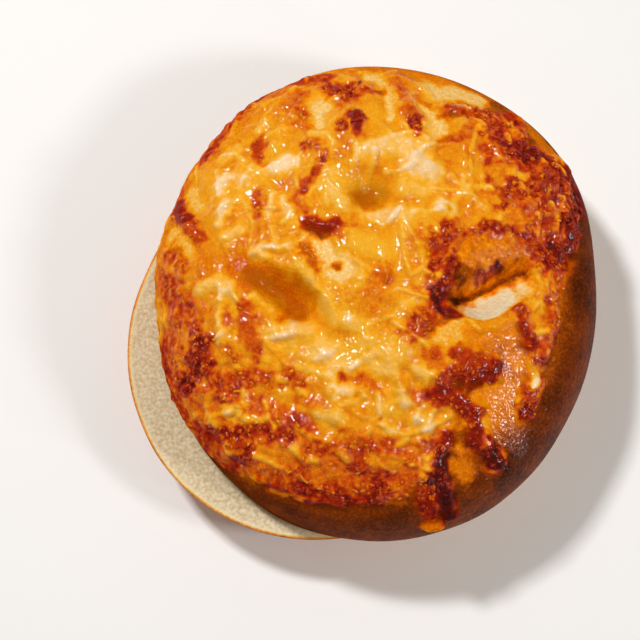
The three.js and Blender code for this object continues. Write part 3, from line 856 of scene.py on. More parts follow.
def cheese_lift(x, y, inside, window, relief):
    """Height of the cheese over the crust; below zero it lies under the skin and doesn't show."""
    blanket = (FILM_THICKNESS + relief) * fade(inside, -0.8, EDGE_FEATHER)
    blanket *= fade(window, -0.6, WINDOW_FEATHER)
    lift = blanket + OUTER_SLOPE * (np.minimum(inside, 0) + np.minimum(window, 0))
    for near, half, height in near_runs(x, y):
        run = (height + RUN_RELIEF * relief) * np.clip(1 - near * near, 0, 1) ** RUN_ROUNDNESS
        lift = np.maximum(lift, run + OUTER_SLOPE * half * np.minimum(1 - near, 0))
    lift = np.minimum(lift, LIP_CAP - LIP_DROP * fade(pocket_inside(x, y), -2.5, 0.8))
    return np.maximum(lift, -SUNK)


# %% Closed shell with a thin underside
def close_shell(upper, lower, quads):
    """Joins an upper and a lower sheet of the same quads round their edges."""
    count = len(upper)
    edges = np.concatenate([quads[:, [i, (i + 1) % 4]] for i in range(4)])
    _, first, times = np.unique(np.sort(edges, axis=1), axis=0, return_index=True, return_counts=True)
    rim = edges[first[times == 1]]
    strip = np.stack([rim[:, 1], rim[:, 0], rim[:, 0] + count, rim[:, 1] + count], axis=1)
    return np.concatenate([upper, lower]), np.concatenate([quads, quads[:, ::-1] + count, strip])


def thin_underside(piece, first, share):
    """Thins the points from number first on, until that share of the faces is left."""
    underside = piece.vertex_groups.new(name="underside")
    underside.add(list(range(first, len(piece.data.vertices))), 1.0, "REPLACE")
    thin = piece.modifiers.new("thin the underside", "DECIMATE")
    thin.vertex_group, thin.vertex_group_factor, thin.ratio = underside.name, 1000, share
    ready = piece.evaluated_get(bpy.context.evaluated_depsgraph_get())
    thinned = bpy.data.meshes.new_from_object(ready)
    piece.modifiers.remove(thin)
    piece.vertex_groups.remove(underside)
    thinned.name, piece.data = piece.name, thinned
    triangles = sum(len(face.vertices) - 2 for face in thinned.polygons)
    print(f"{piece.name}: {triangles} triangles after thinning")


# %% [markdown]
# Every point of the grid now gets its tone and its height. Fine shreds show only where
# the cheese fried, because elsewhere they melted into the film. Shreds and peaks that
# stand out stay paler than the fat between them, and the relief calms down at the rim.

# %% Tone and relief at every point
CHEESE_CELLS, CHEESE_REACH = 372, 68
SHRED_LIGHT, PEAK_LIGHT = 0.15, 0.08
HILLS, FINE_HILLS, CRISP_HILLS, SWELLS = 0.75, 0.26, 0.40, 0.6

x, y, quads, _ = disc_grid(CHEESE_CELLS, CHEESE_REACH, upper_outline)
inside, window = cheese_inside(x, y), window_distance(x, y)
coarse, coarse_light = shred_ridges(x, y, COARSE_SHREDS)
fine, fine_light = shred_ridges(x, y, FINE_SHREDS)
rough = film_roughness(x, y)
cover = cheese_cover(x, y, inside, window)
tone = baked_tone(x, y, cover, rough)
fried = fade(tone, 0.40, 0.56)
fine *= 0.2 + 0.8 * fried
light = np.where(coarse > fine, coarse_light, fine_light * fried)
tone -= cover * rough * SHRED_LIGHT * light * (1 - 0.5 * fade(tone, 0.46, 0.62))
inside = np.minimum(inside, -pocket_inside(x, y))
crisp = fade(tone, 0.5, 0.72) * rough
hills = HILLS * wrinkles(x, y, 3.1, 2.9) + (FINE_HILLS + CRISP_HILLS * crisp) * wrinkles(x, y, 1.5, 4.1)
relief = lump_height(x, y) + SWELLS * wrinkles(x, y, 6.5, 0.7) + rough * (np.maximum(coarse, fine) + hills)
tone = np.clip(tone - cover * rough * PEAK_LIGHT * np.clip(relief - 0.6, -0.6, 0.9), 0, 1)
relief *= 1 - 0.5 * toward_rim(x, y, 46, 58)
lift = cheese_lift(x, y, inside, window, relief)
print("Highest cheese over the crust:", lift.max().round(1), "mm")

# %% [markdown]
# Oil lies on the film as a thin gloss. It ran off the side, and the hollows are less glossy.
# The hollows also get painted shade, a darker amber colour: the last value of a shaded
# hollow is how far its colour turns to it.

# %% Oil, and painted shade in the hollows
SHADED_HOLLOWS = {
    "wall of the fold": ([(250, 276), (268, 287), (288, 305), (297, 311)], 2.4, 0.5),
    "back dimple": ([(361, 194), (371, 196), (376, 190)], 3.0, 0.55),
}
DULL_HOLLOWS = ("wall of the fold", "back dimple", "left of the fold")
DULL_LEFT, SIDE_DRY = 0.35, 0.85

oil = (1 - SIDE_DRY * toward_rim(x, y, 44, 58)) * (0.2 + 0.8 * fade(cover, 0.6, 1.0))
for hollow in DULL_HOLLOWS:
    pixels, half, _ = SMOOTH_FILM[hollow]
    oil *= DULL_LEFT + (1 - DULL_LEFT) * fade(band_distance(x, y, pixels, half), 0.5, 1.2)
# Painted shade: the colour darkens towards dark amber in the fold and the back dimple
hollow_shade = np.zeros_like(x)
uneven = 0.25 * wrinkles(x, y, 3.0, 5.6)
for pixels, half, share in SHADED_HOLLOWS.values():
    hollow_shade = np.maximum(hollow_shade, share * on_band(x, y, pixels, half, 0.3, 1.4, shake=uneven))
print("Mean gloss of the oil:", oil.mean().round(2))

# %% Build the cheese
SHEET_GAP = 0.05
SHELL_SHARE = 0.535
CRISP_ABOVE = 0.4

kept = np.any(lift[quads] > 0, axis=1)
used, quads = np.unique(quads[kept], return_inverse=True)
crust = crust_lift(x[used], y[used])
upper = on_crust(x[used], y[used], crust + lift[used])
lower = on_crust(x[used], y[used], crust - SUNK - SHEET_GAP)
points, faces = close_shell(upper, lower, quads.reshape(-1, 4))
on_top = np.repeat([1.0, 0.0], len(used))
cheese = make_piece("melted_cheese", points, faces, {
    "tone": np.tile(tone[used], 2),
    "cover": np.tile(cover[used], 2),
    "oil": np.tile(oil[used], 2),
    "hollow_shade": np.tile(hollow_shade[used], 2),
    "crisp": np.tile((crisp * (lift > CRISP_ABOVE) * (1 - toward_rim(x, y, 48, 55)))[used], 2) * on_top,
})
thin_underside(cheese, len(used), SHELL_SHARE)

# %% [markdown]
# ## The top half
# The crust is the same kind of grid without the cheese, and its tone is that of the
# oven step. A strip of crumb follows the knife's cut inwards, with the bubbles that the
# knife opened, and one flat face fills the middle, which lies hidden on the lower half.

# %% The knife's cut
CUT_RINGS, CUT_RING_WIDTH = 18, 0.75
LARGE_PORES, SMALL_PORES = 3.2, 1.5


def pore_depth(x, y):
    """Bubbles in the crumb that the knife opened."""
    large, small = (
        np.array([noise.voronoi((a, b, seed))[0][0] for a, b in zip(x / size, y / size)])
        for size, seed in ((LARGE_PORES, 0.3), (SMALL_PORES, 5.3))
    )
    return 0.5 * (1 - fade(large, 0.08, 0.20)) + 0.06 * (1 - fade(small, 0.15, 0.4))


def add_cut(points, faces, rim, height, upward, middle):
    """Closes a half along its rim with rings of crumb and a flat middle; also gives the depth in."""
    depth = np.zeros(len(points))
    outer = points[rim]
    spokes = np.stack([outer[:, 0] - middle[0], outer[:, 1] - middle[1]], axis=1)
    length = np.hypot(spokes[:, 0], spokes[:, 1])
    rings, last = [], rim
    total = len(points)
    for ring in range(1, CUT_RINGS + 1):
        inward = ring * CUT_RING_WIDTH
        shrink = (1 - inward / length)[:, None]
        flat = spokes * shrink + np.array(middle)
        pores = pore_depth(flat[:, 0], flat[:, 1]) * fade(inward, 0.5, 2.0) * (ring < CUT_RINGS)
        level = height - pores if upward else height + pores
        rings.append(np.column_stack([flat, level]))
        here = np.arange(total, total + len(rim))
        total += len(rim)
        strip = np.stack([last, np.roll(last, -1), np.roll(here, -1), here], axis=1)
        faces.extend(strip.tolist() if upward else strip[:, ::-1].tolist())
        depth = np.concatenate([depth, np.full(len(rim), inward)])
        last = here
    faces.append(last.tolist() if upward else last[::-1].tolist())
    return np.concatenate([points, *rings]), faces, depth


print("Crumb is modelled", CUT_RINGS * CUT_RING_WIDTH, "mm in from the crust")

# %% [markdown]
# Little heat reached the inside of the pocket. The far wall is grainy and tan, with painted
# shade at its left end, and burnt along the step. The floor has painted shade by the
# crease and at its left end, is gold at its right end, and is pale dough between.

# %% Colour inside the pocket
BURNT_STREAK = [(481, 276), (490, 272), (500, 266)]
POCKET_ROLL = [(458, 289), (470, 285), (484, 279), (496, 273)]
SHADED_END = [(446, 292), (452, 280)]
WALL_TONE, SHADE, ROLL_LIGHT, BURNT = 0.45, 0.36, 0.18, 0.42
FLOOR_TONE, LIP_BAKE, DOUGH_SHARE = -0.10, 0.25, 0.45


def burnt_share(x, y):
    """1 on the streak where the step of the far wall burnt."""
    return on_band(x, y, BURNT_STREAK, 1.4, 0.3, 1.5, shake=0.8 * wrinkles(x, y, 1.6, 6.6))


def pocket_tone(x, y):
    """Tone inside the pocket, and its share of pale dough."""
    far, near, floor = pocket_shares(x, y)
    left, right = pocket_lip[0][0], pocket_lip[-1][0]
    along = (x - left) / (right - left) + 0.14 * wrinkles(x, y, 2.2, 8.8)
    end = on_band(x, y, SHADED_END, 4.4, 0.2, 1.6)
    roll = on_band(x, y, POCKET_ROLL, 1.3, 0.4, 1.5)
    grain = 0.20 * wrinkles(x, y, 1.2, 2.8) + 0.10 * wrinkles(x, y, 3.4, 2.1)
    wall = WALL_TONE + 0.10 * far**3 + SHADE * end - ROLL_LIGHT * roll + grain + BURNT * burnt_share(x, y)
    # Painted shade: the floor darkens by the crease, in a thin line along it at the left, and at its left
    # end
    back = 0.52 * (1 - fade(near + 0.25 * wrinkles(x, y, 1.6, 4.4), 0.12, 0.5))
    back += 0.24 * (1 - fade(near, 0.05, 0.22)) * (1 - fade(along, 0.55, 0.85))
    ends = 0.65 * (1 - fade(along, 0.08, 0.32)) + 0.42 * fade(along, 0.60, 0.95)
    pale = FLOOR_TONE + back + ends + LIP_BAKE * fade(near, 0.9, 1.0) + 0.4 * grain
    dough = DOUGH_SHARE * floor * fade(along, 0.1, 0.32) * (1 - fade(along, 0.55, 0.9))
    dough *= fade(near, 0.25, 0.5) * (1 - fade(near, 0.85, 1.0))
    return wall + (pale - wall) * floor, dough


print("Tone along the crease:", pocket_tone(crease_x, crease_y)[0].round(2))

# %% [markdown]
# Boiled skin bakes to a gloss. It shows most in patches on the bare crust at the front
# right and on the floor of the pocket. The last value of a patch is its gloss.

# %% Gloss of the crust
GLAZED = {
    "below the pocket": ([(492, 336), (502, 348), (510, 362)], 3.4, 0.8),
    "low at the front right": ([(512, 398), (503, 416)], 3.8, 0.8),
    "lowest at the front right": ([(492, 432), (516, 444)], 3.6, 0.8),
    "floor of the pocket": ([(478, 306), (500, 302)], 2.5, 0.8),
    "far wall of the pocket": ([(468, 258), (488, 252), (508, 256)], 3.2, 0.25),
    "burnt streak": ([(484, 274), (500, 267)], 1.6, 0.8),
}
PLAIN_GLAZE, FLANK_GLAZE, RIGHT_GLAZE = 0.08, 0.015, 0.24
GLOSSIEST_WAY = math.radians(-45)


def crust_glaze(x, y):
    """Where the skin is glossiest, 0 to 1."""
    flank = FLANK_GLAZE + RIGHT_GLAZE * np.maximum(np.cos(np.arctan2(y, x) - GLOSSIEST_WAY), 0) ** 2
    gloss = PLAIN_GLAZE + (flank - PLAIN_GLAZE) * toward_rim(x, y, 46, 58)
    uneven = wrinkles(x, y, 4, 5.1)
    for pixels, half, weight in GLAZED.values():
        gloss = np.maximum(gloss, weight * on_band(x, y, pixels, half, 0.5, 1.5, shake=uneven))
    return gloss


# %% Build the top half
CRUST_CELLS = 250

x, y, quads, rim = disc_grid(CRUST_CELLS, cut_arc, upper_outline)
points = on_crust(x, y, crust_lift(x, y))
points[rim, 2] = CUT_HEIGHT + GAP
points, faces, depth = add_cut(points, quads.tolist(), rim, CUT_HEIGHT + GAP, False, SLIDE)
cut_points = np.zeros(len(points) - len(x))
cover = cheese_cover(x, y, cheese_inside(x, y), window_distance(x, y))
_, _, floor = pocket_shares(x, y)
in_pocket = fade(pocket_inside(x, y), -0.6, 2.8 - 1.6 * floor)
tone = baked_tone(x, y, cover, np.ones_like(x))
tone_inside, dough = pocket_tone(x, y)
tone += (tone_inside - tone) * in_pocket
top_half = make_piece("bagel_top", points, faces, {
    "tone": np.concatenate([np.clip(tone, 0, 1), cut_points]),
    "cover": np.concatenate([cover * (1 - in_pocket) + burnt_share(x, y) * in_pocket, cut_points]),
    "glaze": np.concatenate([crust_glaze(x, y), cut_points]),
    "crumb": fade(depth, 0.6, 1.6) + np.concatenate([dough * in_pocket, cut_points]),
})

# %% [markdown]
# ## The lower half
# The lower half stands on the dome's underside with its cut face up. It is browned where
# it touched the tray, and a crescent of its crumb shows at the front left.

# %% Crust and cut of the lower half
LOWER_CELLS = 200
PALER_FLANK = 0.14
FLANK_BAKE, FOOT_BAKE = 0.54, 0.18
WAVES_SHIFT, WAVES_SHARE = 90, 0.3
foot_arc = side["arc"][-1]


def lower_skin(x, y):
    """Points of the underside, for places counted from the middle of the foot to the cut."""
    turn = np.arctan2(y, x)
    from_crown = (foot_arc - np.hypot(x, y)) * lower_outline(turn)
    uneven = waves(x + WAVES_SHIFT, y) * WAVES_SHARE
    points = on_crust(from_crown * np.cos(turn), from_crown * np.sin(turn), uneven, lower_outline, (0, 0))
    points[:, 2] = np.maximum(points[:, 2], 0)
    return points


x, y, quads, rim = disc_grid(LOWER_CELLS, foot_arc - cut_arc, np.ones_like)
points = lower_skin(x, y)
points[rim, 2] = CUT_HEIGHT
foot = 1 - toward_rim(x, y, 30, 48)
bake = FLANK_BAKE + FOOT_BAKE * foot + 0.2 * wrinkles(x, y, 8, 3.3)
points, faces, depth = add_cut(points, quads[:, ::-1].tolist(), rim, CUT_HEIGHT, True, (0, 0))
cut_points = np.zeros(len(points) - len(x))
bottom_half = make_piece("bagel_bottom", points, faces, {
    "tone": np.concatenate([bake, cut_points]),
    "cover": np.zeros(len(points)),
    "glaze": np.concatenate([np.full_like(x, FLANK_GLAZE), cut_points]),
    "crumb": PALER_FLANK + (1 - PALER_FLANK) * fade(depth, 0.6, 1.6),
})

# %% [markdown]
# ## Materials
# Colours are written as sRGB hex and turned to linear by one function. One more small
# function adds a node, sets it up and links it, so each material reads as a list.

# %% Colour and node helpers
def linear(text):
    """sRGB hex to linear colour."""
    shares = [int(text[i:i + 2], 16) / 255 for i in (1, 3, 5)]
    return [s / 12.92 if s <= 0.04045 else ((s + 0.055) / 1.055) ** 2.4 for s in shares] + [1.0]


def add_node(tree, kind, inputs, stops=(), **settings):
    """Adds a node; an input is a value or another node's output, stops fill a colour ramp."""
    node = tree.nodes.new(kind)
    for key, value in settings.items():
        setattr(node, key, value)
    for key, value in inputs.items():
        if isinstance(value, bpy.types.NodeSocket):
            tree.links.new(value, node.inputs[key])
        else:
            node.inputs[key].default_value = value
    for number, (place, colour) in enumerate(stops):
        middle = 0 < number < len(stops) - 1
        ramp = node.color_ramp.elements
        stop = ramp.new(place) if middle else ramp[0 if number == 0 else -1]
        stop.position, stop.color = place, linear(colour)
    return node


def new_material(name):
    """An empty material and its node tree."""
    material = bpy.data.materials.new(name)
    material.use_nodes = True
    material.node_tree.nodes.clear()
    return material, material.node_tree


def per_metre(millimetres):
    """Scale of a noise texture whose patches are that wide."""
    return 1 / (millimetres * MM)


print("Middle grey in linear light:", round(linear("#808080")[0], 3))

# %% [markdown]
# ### Melted asiago
# Melted hard cheese is a fatty film over protein: gold and a little see-through, cream
# where it is thick, brown where it fried in its own fat. Crust and cheese have a ramp of
# colours each over the same tone, and the share of cheese mixes the two. A thin layer of
# oil gives the many small glints, so it is a coat, which fine noise bends.

# %% Cheese material
# Painted shade: the dark amber that the shaded hollows turn towards
HOLLOW_SHADE_COLOUR = "#8a4a02"
CHEESE_TONES = [
    (0.0, "#f8d6a6"), (0.12, "#f6be5d"), (0.24, "#f2ae24"), (0.36, "#ec980a"), (0.48, "#dc6c03"),
    (0.60, "#c03c02"), (0.74, "#941803"), (0.88, "#620e03"), (1.0, "#380a06"),
]
CRUST_TONES = [
    (0.0, "#f4e6b8"), (0.12, "#f4c878"), (0.24, "#f2ac30"), (0.36, "#f28804"), (0.48, "#da7203"),
    (0.60, "#b45604"), (0.74, "#863804"), (0.88, "#602504"), (1.0, "#3c1706"),
]


def baked_colour(tree, tone):
    """Colour of crust and of cheese at a tone, mixed by the share of cheese."""
    cover = add_node(tree, "ShaderNodeAttribute", {}, attribute_name="cover").outputs["Fac"]
    crust = add_node(tree, "ShaderNodeValToRGB", {"Fac": tone}, CRUST_TONES)
    melted = add_node(tree, "ShaderNodeValToRGB", {"Fac": tone}, CHEESE_TONES)
    both = add_node(tree, "ShaderNodeMix", {
        "Factor": cover, "A": crust.outputs["Color"], "B": melted.outputs["Color"],
    }, data_type="RGBA")
    return both.outputs["Result"]


def melted_asiago():
    """Baked colours with painted shade in the hollows, under a thin coat of oil."""
    material, tree = new_material("melted asiago, fried gold")
    place = add_node(tree, "ShaderNodeTexCoord", {}).outputs["Object"]
    tone, oil, hollow_shade = (
        add_node(tree, "ShaderNodeAttribute", {}, attribute_name=key).outputs["Fac"]
        for key in ("tone", "oil", "hollow_shade")
    )
    # Pale specks in the tone: partly specks of fat, partly painted sparkle
    specks_and_sparkle = add_node(tree, "ShaderNodeTexNoise", {"Vector": place, "Scale": per_metre(0.6), "Detail": 2})
    change = add_node(tree, "ShaderNodeMapRange", {
        "Value": specks_and_sparkle.outputs["Fac"], "From Min": 0.5, "From Max": 0.72, "To Min": 0.0, "To Max": -0.09,
    })
    browned = add_node(tree, "ShaderNodeMath", {0: tone, 1: change.outputs["Result"]}, operation="ADD")
    # Painted shade in the hollows: the colour turns towards dark amber
    colour = add_node(tree, "ShaderNodeMix", {
        "Factor": hollow_shade, "A": baked_colour(tree, browned.outputs[0]), "B": linear(HOLLOW_SHADE_COLOUR),
    }, data_type="RGBA").outputs["Result"]
    ripples = add_node(tree, "ShaderNodeTexNoise", {"Vector": place, "Scale": per_metre(1.0), "Detail": 1})
    bump = add_node(tree, "ShaderNodeBump", {"Height": ripples.outputs["Fac"], "Distance": 0.2 * MM})
    film = add_node(tree, "ShaderNodeMath", {0: oil, 1: 0.5}, operation="MULTIPLY")
    surface = add_node(tree, "ShaderNodeBsdfPrincipled", {
        "Base Color": colour, "Roughness": 0.6, "Normal": bump.outputs["Normal"], "Specular IOR Level": 0.0,
        "Subsurface Weight": 0.5, "Subsurface Radius": (1.0, 0.55, 0.15), "Subsurface Scale": 1.5 * MM,
        "Coat Weight": film.outputs[0], "Coat Roughness": 0.09, "Coat IOR": 1.55,
        "Coat Normal": bump.outputs["Normal"],
    }, subsurface_method="BURLEY")
    add_node(tree, "ShaderNodeOutputMaterial", {"Surface": surface.outputs["BSDF"]})
    return material


cheese_material = melted_asiago()
cheese.data.materials.append(cheese_material)
print(f"{cheese_material.name}: {len(cheese_material.node_tree.nodes)} nodes")

# %% [markdown]
# ### Boiled and baked crust, and crumb
# Boiling sets the starch on the skin; it bakes to a thin gloss with a fine grain, partly painted sparkle.
# The crumb is matt, cream and full of small holes. Both are one material, mixed by the
# share of crumb, which is 1 on the cut face.

# %% Crust material
CRUMB_COLOUR, PORE_COLOUR = "#eedebc", "#cdb48a"


def baked_crust():
    """Baked colours with a fine grain that is partly painted sparkle, and a gloss, or matt crumb."""
    material, tree = new_material("boiled and baked bagel crust")
    place = add_node(tree, "ShaderNodeTexCoord", {}).outputs["Object"]
    tone, crumb, glaze = (
        add_node(tree, "ShaderNodeAttribute", {}, attribute_name=key).outputs["Fac"]
        for key in ("tone", "crumb", "glaze")
    )
    # Fine grain of the skin; its pale specks are partly painted sparkle
    grain = add_node(tree, "ShaderNodeTexNoise", {"Vector": place, "Scale": per_metre(0.7), "Detail": 3})
    change = add_node(tree, "ShaderNodeMapRange", {
        "Value": grain.outputs["Fac"], "From Min": 0.4, "From Max": 0.72, "To Min": 0.04, "To Max": -0.10,
    })
    browned = add_node(tree, "ShaderNodeMath", {0: tone, 1: change.outputs["Result"]}, operation="ADD")
    colour = baked_colour(tree, browned.outputs[0])
    holes = add_node(tree, "ShaderNodeTexNoise", {"Vector": place, "Scale": per_metre(0.8), "Detail": 3})
    pores = add_node(tree, "ShaderNodeMapRange", {
        "Value": holes.outputs["Fac"], "From Min": 0.35, "From Max": 0.7,
    })
    bread = add_node(tree, "ShaderNodeMix", {
        "Factor": pores.outputs["Result"], "A": linear(CRUMB_COLOUR), "B": linear(PORE_COLOUR),
    }, data_type="RGBA")
    both = add_node(tree, "ShaderNodeMix", {
        "Factor": crumb, "A": colour, "B": bread.outputs["Result"],
    }, data_type="RGBA")
    matt = add_node(tree, "ShaderNodeMapRange", {"Value": crumb, "To Min": 0.5, "To Max": 0.9})
    peel = add_node(tree, "ShaderNodeTexNoise", {"Vector": place, "Scale": per_metre(1.2), "Detail": 1})
    skin = add_node(tree, "ShaderNodeMapRange", {"Value": crumb, "To Min": 1.0, "To Max": 0.2})
    bump = add_node(tree, "ShaderNodeBump", {
        "Height": peel.outputs["Fac"], "Strength": skin.outputs["Result"], "Distance": 0.42 * MM,
    })
    surface = add_node(tree, "ShaderNodeBsdfPrincipled", {
        "Base Color": both.outputs["Result"], "Roughness": matt.outputs["Result"],
        "Normal": bump.outputs["Normal"], "Specular IOR Level": 0.0,
        "Subsurface Weight": 0.1, "Subsurface Radius": (1.0, 0.7, 0.5), "Subsurface Scale": 0.6 * MM,
        "Coat Weight": glaze, "Coat Roughness": 0.12, "Coat IOR": 1.5, "Coat Normal": bump.outputs["Normal"],
    })
    add_node(tree, "ShaderNodeOutputMaterial", {"Surface": surface.outputs["BSDF"]})
    return material


crust_material = baked_crust()
for piece in (top_half, bottom_half):
    piece.data.materials.append(crust_material)
print(f"{crust_material.name}: {len(crust_material.node_tree.nodes)} nodes")

# %% [markdown]
# ## Fried strands and crisp grains
# Where the cheese fried crisp, single shreds and flakes of about half a millimetre stand
# out of the film, shiny with oil. There are hundreds and they follow the surface, so
# Geometry Nodes scatter them: points on the faces, more of them where the cheese is
# crisp, each with one small shape that is turned and sized at random and takes a shade
# near that of its place. The tree ends in real mesh, because instances don't leave
# Blender.

# %% Shapes to scatter
def strand_shape(tree):
    """A bent, tapered shred, two units long."""
    arch = add_node(tree, "GeometryNodeCurveQuadraticBezier", {
        "Resolution": 5, "Start": (-1, 0, 0), "Middle": (0, 0.35, 0), "End": (1, 0, 0),
    })
    along = add_node(tree, "GeometryNodeSplineParameter", {})
    taper = add_node(tree, "ShaderNodeMapRange", {
        "Value": along.outputs["Factor"], "To Min": 1.0, "To Max": 0.5,
    })
    curve = add_node(tree, "GeometryNodeSetCurveRadius", {
        "Curve": arch.outputs[0], "Radius": taper.outputs[0],
    })
    ring = add_node(tree, "GeometryNodeCurvePrimitiveCircle", {"Resolution": 5, "Radius": 0.24})
    solid = add_node(tree, "GeometryNodeCurveToMesh", {
        "Curve": curve.outputs[0], "Profile Curve": ring.outputs[0], "Fill Caps": True,
    })
    return solid.outputs["Mesh"]


def grain_shape(tree):
    """An uneven, flat flake, about one unit in radius."""
    ball = add_node(tree, "GeometryNodeMeshIcoSphere", {"Radius": 1.0, "Subdivisions": 1})
    uneven = add_node(tree, "FunctionNodeRandomValue", {
        0: (-0.35, -0.35, -0.35), 1: (0.35, 0.35, 0.35),
    }, data_type="FLOAT_VECTOR")
    nugget = add_node(tree, "GeometryNodeSetPosition", {
        "Geometry": ball.outputs["Mesh"], "Offset": uneven.outputs[0],
    })
    flat = add_node(tree, "GeometryNodeTransform", {
        "Geometry": nugget.outputs["Geometry"], "Scale": (1.4, 0.8, 0.45),
    })
    return flat.outputs["Geometry"]


# %% Scatter tree
def scatter_tree(name, shape):
    """A tree that scatters one shape on the crisp part of the cheese."""
    tree = bpy.data.node_groups.new(name, "GeometryNodeTree")
    tree.interface.new_socket("Cheese", in_out="INPUT", socket_type="NodeSocketGeometry")
    for number in ("Density", "Smallest", "Largest", "Lightest", "Darkest", "Tilt"):
        tree.interface.new_socket(number, in_out="INPUT", socket_type="NodeSocketFloat")
    tree.interface.new_socket("Seed", in_out="INPUT", socket_type="NodeSocketInt")
    tree.interface.new_socket("Finish", in_out="INPUT", socket_type="NodeSocketMaterial")
    tree.interface.new_socket("Scattered", in_out="OUTPUT", socket_type="NodeSocketGeometry")
    given = add_node(tree, "NodeGroupInput", {}).outputs
    crisp = add_node(tree, "GeometryNodeInputNamedAttribute", {"Name": "crisp"}, data_type="FLOAT")
    thick = add_node(tree, "ShaderNodeMath", {
        0: given["Density"], 1: crisp.outputs["Attribute"],
    }, operation="MULTIPLY")
    points = add_node(tree, "GeometryNodeDistributePointsOnFaces", {
        "Mesh": given["Cheese"], "Density": thick.outputs[0], "Seed": given["Seed"],
    })
    most = add_node(tree, "ShaderNodeCombineXYZ", {
        "X": given["Tilt"], "Y": given["Tilt"], "Z": 2 * math.pi,
    })
    spin = add_node(tree, "FunctionNodeRandomValue", {1: most.outputs["Vector"]}, data_type="FLOAT_VECTOR")
    turn = add_node(tree, "FunctionNodeRotateRotation", {
        "Rotation": points.outputs["Rotation"], "Rotate By": spin.outputs[0],
    }, rotation_space="LOCAL")
    size = add_node(tree, "FunctionNodeRandomValue", {2: given["Smallest"], 3: given["Largest"], "Seed": 1})
    placed = add_node(tree, "GeometryNodeInstanceOnPoints", {
        "Points": points.outputs["Points"], "Instance": shape(tree),
        "Rotation": turn.outputs[0], "Scale": size.outputs[1],
    })
    shade = add_node(tree, "FunctionNodeRandomValue", {2: given["Lightest"], 3: given["Darkest"], "Seed": 2})
    ground = add_node(tree, "GeometryNodeInputNamedAttribute", {"Name": "tone"}, data_type="FLOAT")
    tone = add_node(tree, "ShaderNodeMath", {
        0: ground.outputs["Attribute"], 1: shade.outputs[1],
    }, operation="ADD")
    marked = placed.outputs["Instances"]
    for key, value in {"tone": tone.outputs[0], "cover": 1.0, "oil": 1.0}.items():
        marked = add_node(tree, "GeometryNodeStoreNamedAttribute", {
            "Geometry": marked, "Name": key, "Value": value,
        }, domain="INSTANCE").outputs["Geometry"]
    real = add_node(tree, "GeometryNodeRealizeInstances", {"Geometry": marked})
    smooth = add_node(tree, "GeometryNodeSetShadeSmooth", {"Geometry": real.outputs["Geometry"]})
    done = add_node(tree, "GeometryNodeSetMaterial", {
        "Geometry": smooth.outputs[0], "Material": given["Finish"],
    })
    add_node(tree, "NodeGroupOutput", {"Scattered": done.outputs["Geometry"]})
    return tree


def scatter(name, shape, per_square_mm, sizes, shades, tilt, seed):
    """Runs a tree on the cheese and keeps the result as a plain mesh."""
    tree = scatter_tree(name, shape)
    modifier = cheese.modifiers.new(name, "NODES")
    modifier.node_group = tree
    values = {
        "Density": per_square_mm / MM**2, "Smallest": sizes[0] * MM, "Largest": sizes[1] * MM,
        "Lightest": shades[0], "Darkest": shades[1], "Tilt": math.radians(tilt), "Seed": seed,
        "Finish": cheese_material,
    }
    for item in tree.interface.items_tree:
        if item.name in values:
            modifier[item.identifier] = values[item.name]
    ready = cheese.evaluated_get(bpy.context.evaluated_depsgraph_get())
    mesh = bpy.data.meshes.new_from_object(ready)
    cheese.modifiers.remove(modifier)
    piece = bpy.data.objects.new(name, mesh)
    scene.collection.objects.link(piece)
    print(f"{name}: {sum(len(face.vertices) - 2 for face in mesh.polygons)} triangles")
    return piece


# %% Scatter strands and grains
strands = scatter(
    "fried_strands", strand_shape, per_square_mm=0.05,
    sizes=(0.7, 1.4), shades=(-0.12, 0.02), tilt=17, seed=3,
)
grains = scatter(
    "crisped_grains", grain_shape, per_square_mm=1.2,
    sizes=(0.25, 0.6), shades=(-0.22, 0.0), tilt=40, seed=5,
)

# %% [markdown]
# ## Floor and light
# The photo is a cut-out on white, lit from the back left, with a dark right and front
# side. A small key lamp gives the glints, two weaker lamps light the right side, and a
# pale floor and a dim, warm world fill the shadows.

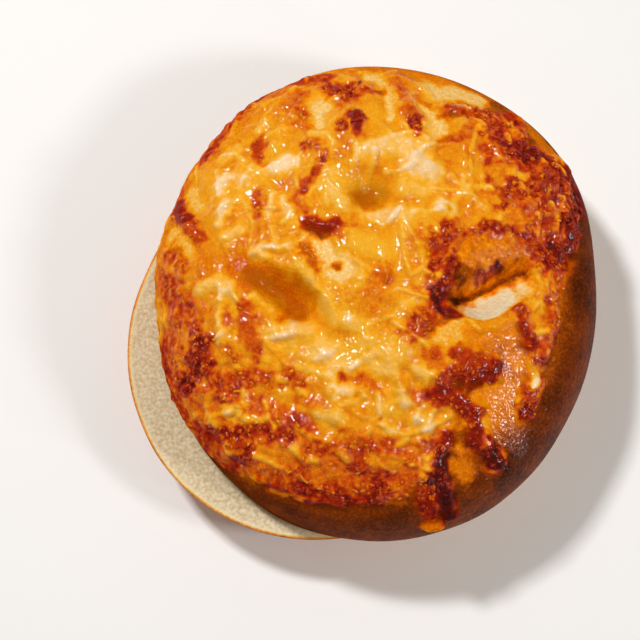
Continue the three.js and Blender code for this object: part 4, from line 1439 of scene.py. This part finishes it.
# %% Floor, lamps and world
FLOOR_HALF, FLOOR_LEVEL = 1.5, -0.0002
PAPER_COLOUR, ROOM_COLOUR, ROOM_STRENGTH = "#fafafa", "#fff3e2", 0.25
LAMP_TARGET = (0, 0, 0.03)
LAMPS = {
    "key lamp": {"place": (-0.28, 0.27, 0.66), "size": 0.085, "power": 3.65},
    "fill lamp": {"place": (0.55, -0.20, 0.55), "size": 0.12, "power": 1.7},
    "rim lamp": {"place": (0.58, -0.34, 0.24), "size": 0.06, "power": 0.3},
}


def make_floor():
    mesh = bpy.data.meshes.new("floor")
    corners = [(-1, -1), (1, -1), (1, 1), (-1, 1)]
    mesh.from_pydata([(FLOOR_HALF * a, FLOOR_HALF * b, FLOOR_LEVEL) for a, b in corners], [], [(0, 1, 2, 3)])
    floor = bpy.data.objects.new("floor", mesh)
    scene.collection.objects.link(floor)
    material, tree = new_material("white studio paper")
    surface = add_node(tree, "ShaderNodeBsdfPrincipled", {
        "Base Color": linear(PAPER_COLOUR), "Roughness": 0.9,
    })
    add_node(tree, "ShaderNodeOutputMaterial", {"Surface": surface.outputs["BSDF"]})
    mesh.materials.append(material)


def add_lamp(name, place, size, power):
    lamp = bpy.data.objects.new(name, bpy.data.lights.new(name, "AREA"))
    lamp.data.size, lamp.data.energy = size, power
    lamp.location = place
    lamp.rotation_euler = (Vector(place) - Vector(LAMP_TARGET)).to_track_quat("Z", "Y").to_euler()
    scene.collection.objects.link(lamp)


make_floor()
for name, lamp in LAMPS.items():
    add_lamp(name, **lamp)
scene.world = bpy.data.worlds.new("white room")
scene.world.use_nodes = True
background = scene.world.node_tree.nodes["Background"]
background.inputs["Color"].default_value = linear(ROOM_COLOUR)
background.inputs["Strength"].default_value = ROOM_STRENGTH
scene.view_settings.view_transform = "Standard"
print("Lamps:", ", ".join(LAMPS))

# %% [markdown]
# ## Put the pieces in the frame
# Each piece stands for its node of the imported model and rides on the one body.

# %% Ride, replace and finish
for piece, node in ((top_half, "top_half"), (cheese, "cheese"), (bottom_half, "bottom_half")):
    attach(piece, "root")
    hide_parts(node)
for piece in (strands, grains):
    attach(piece, "root")
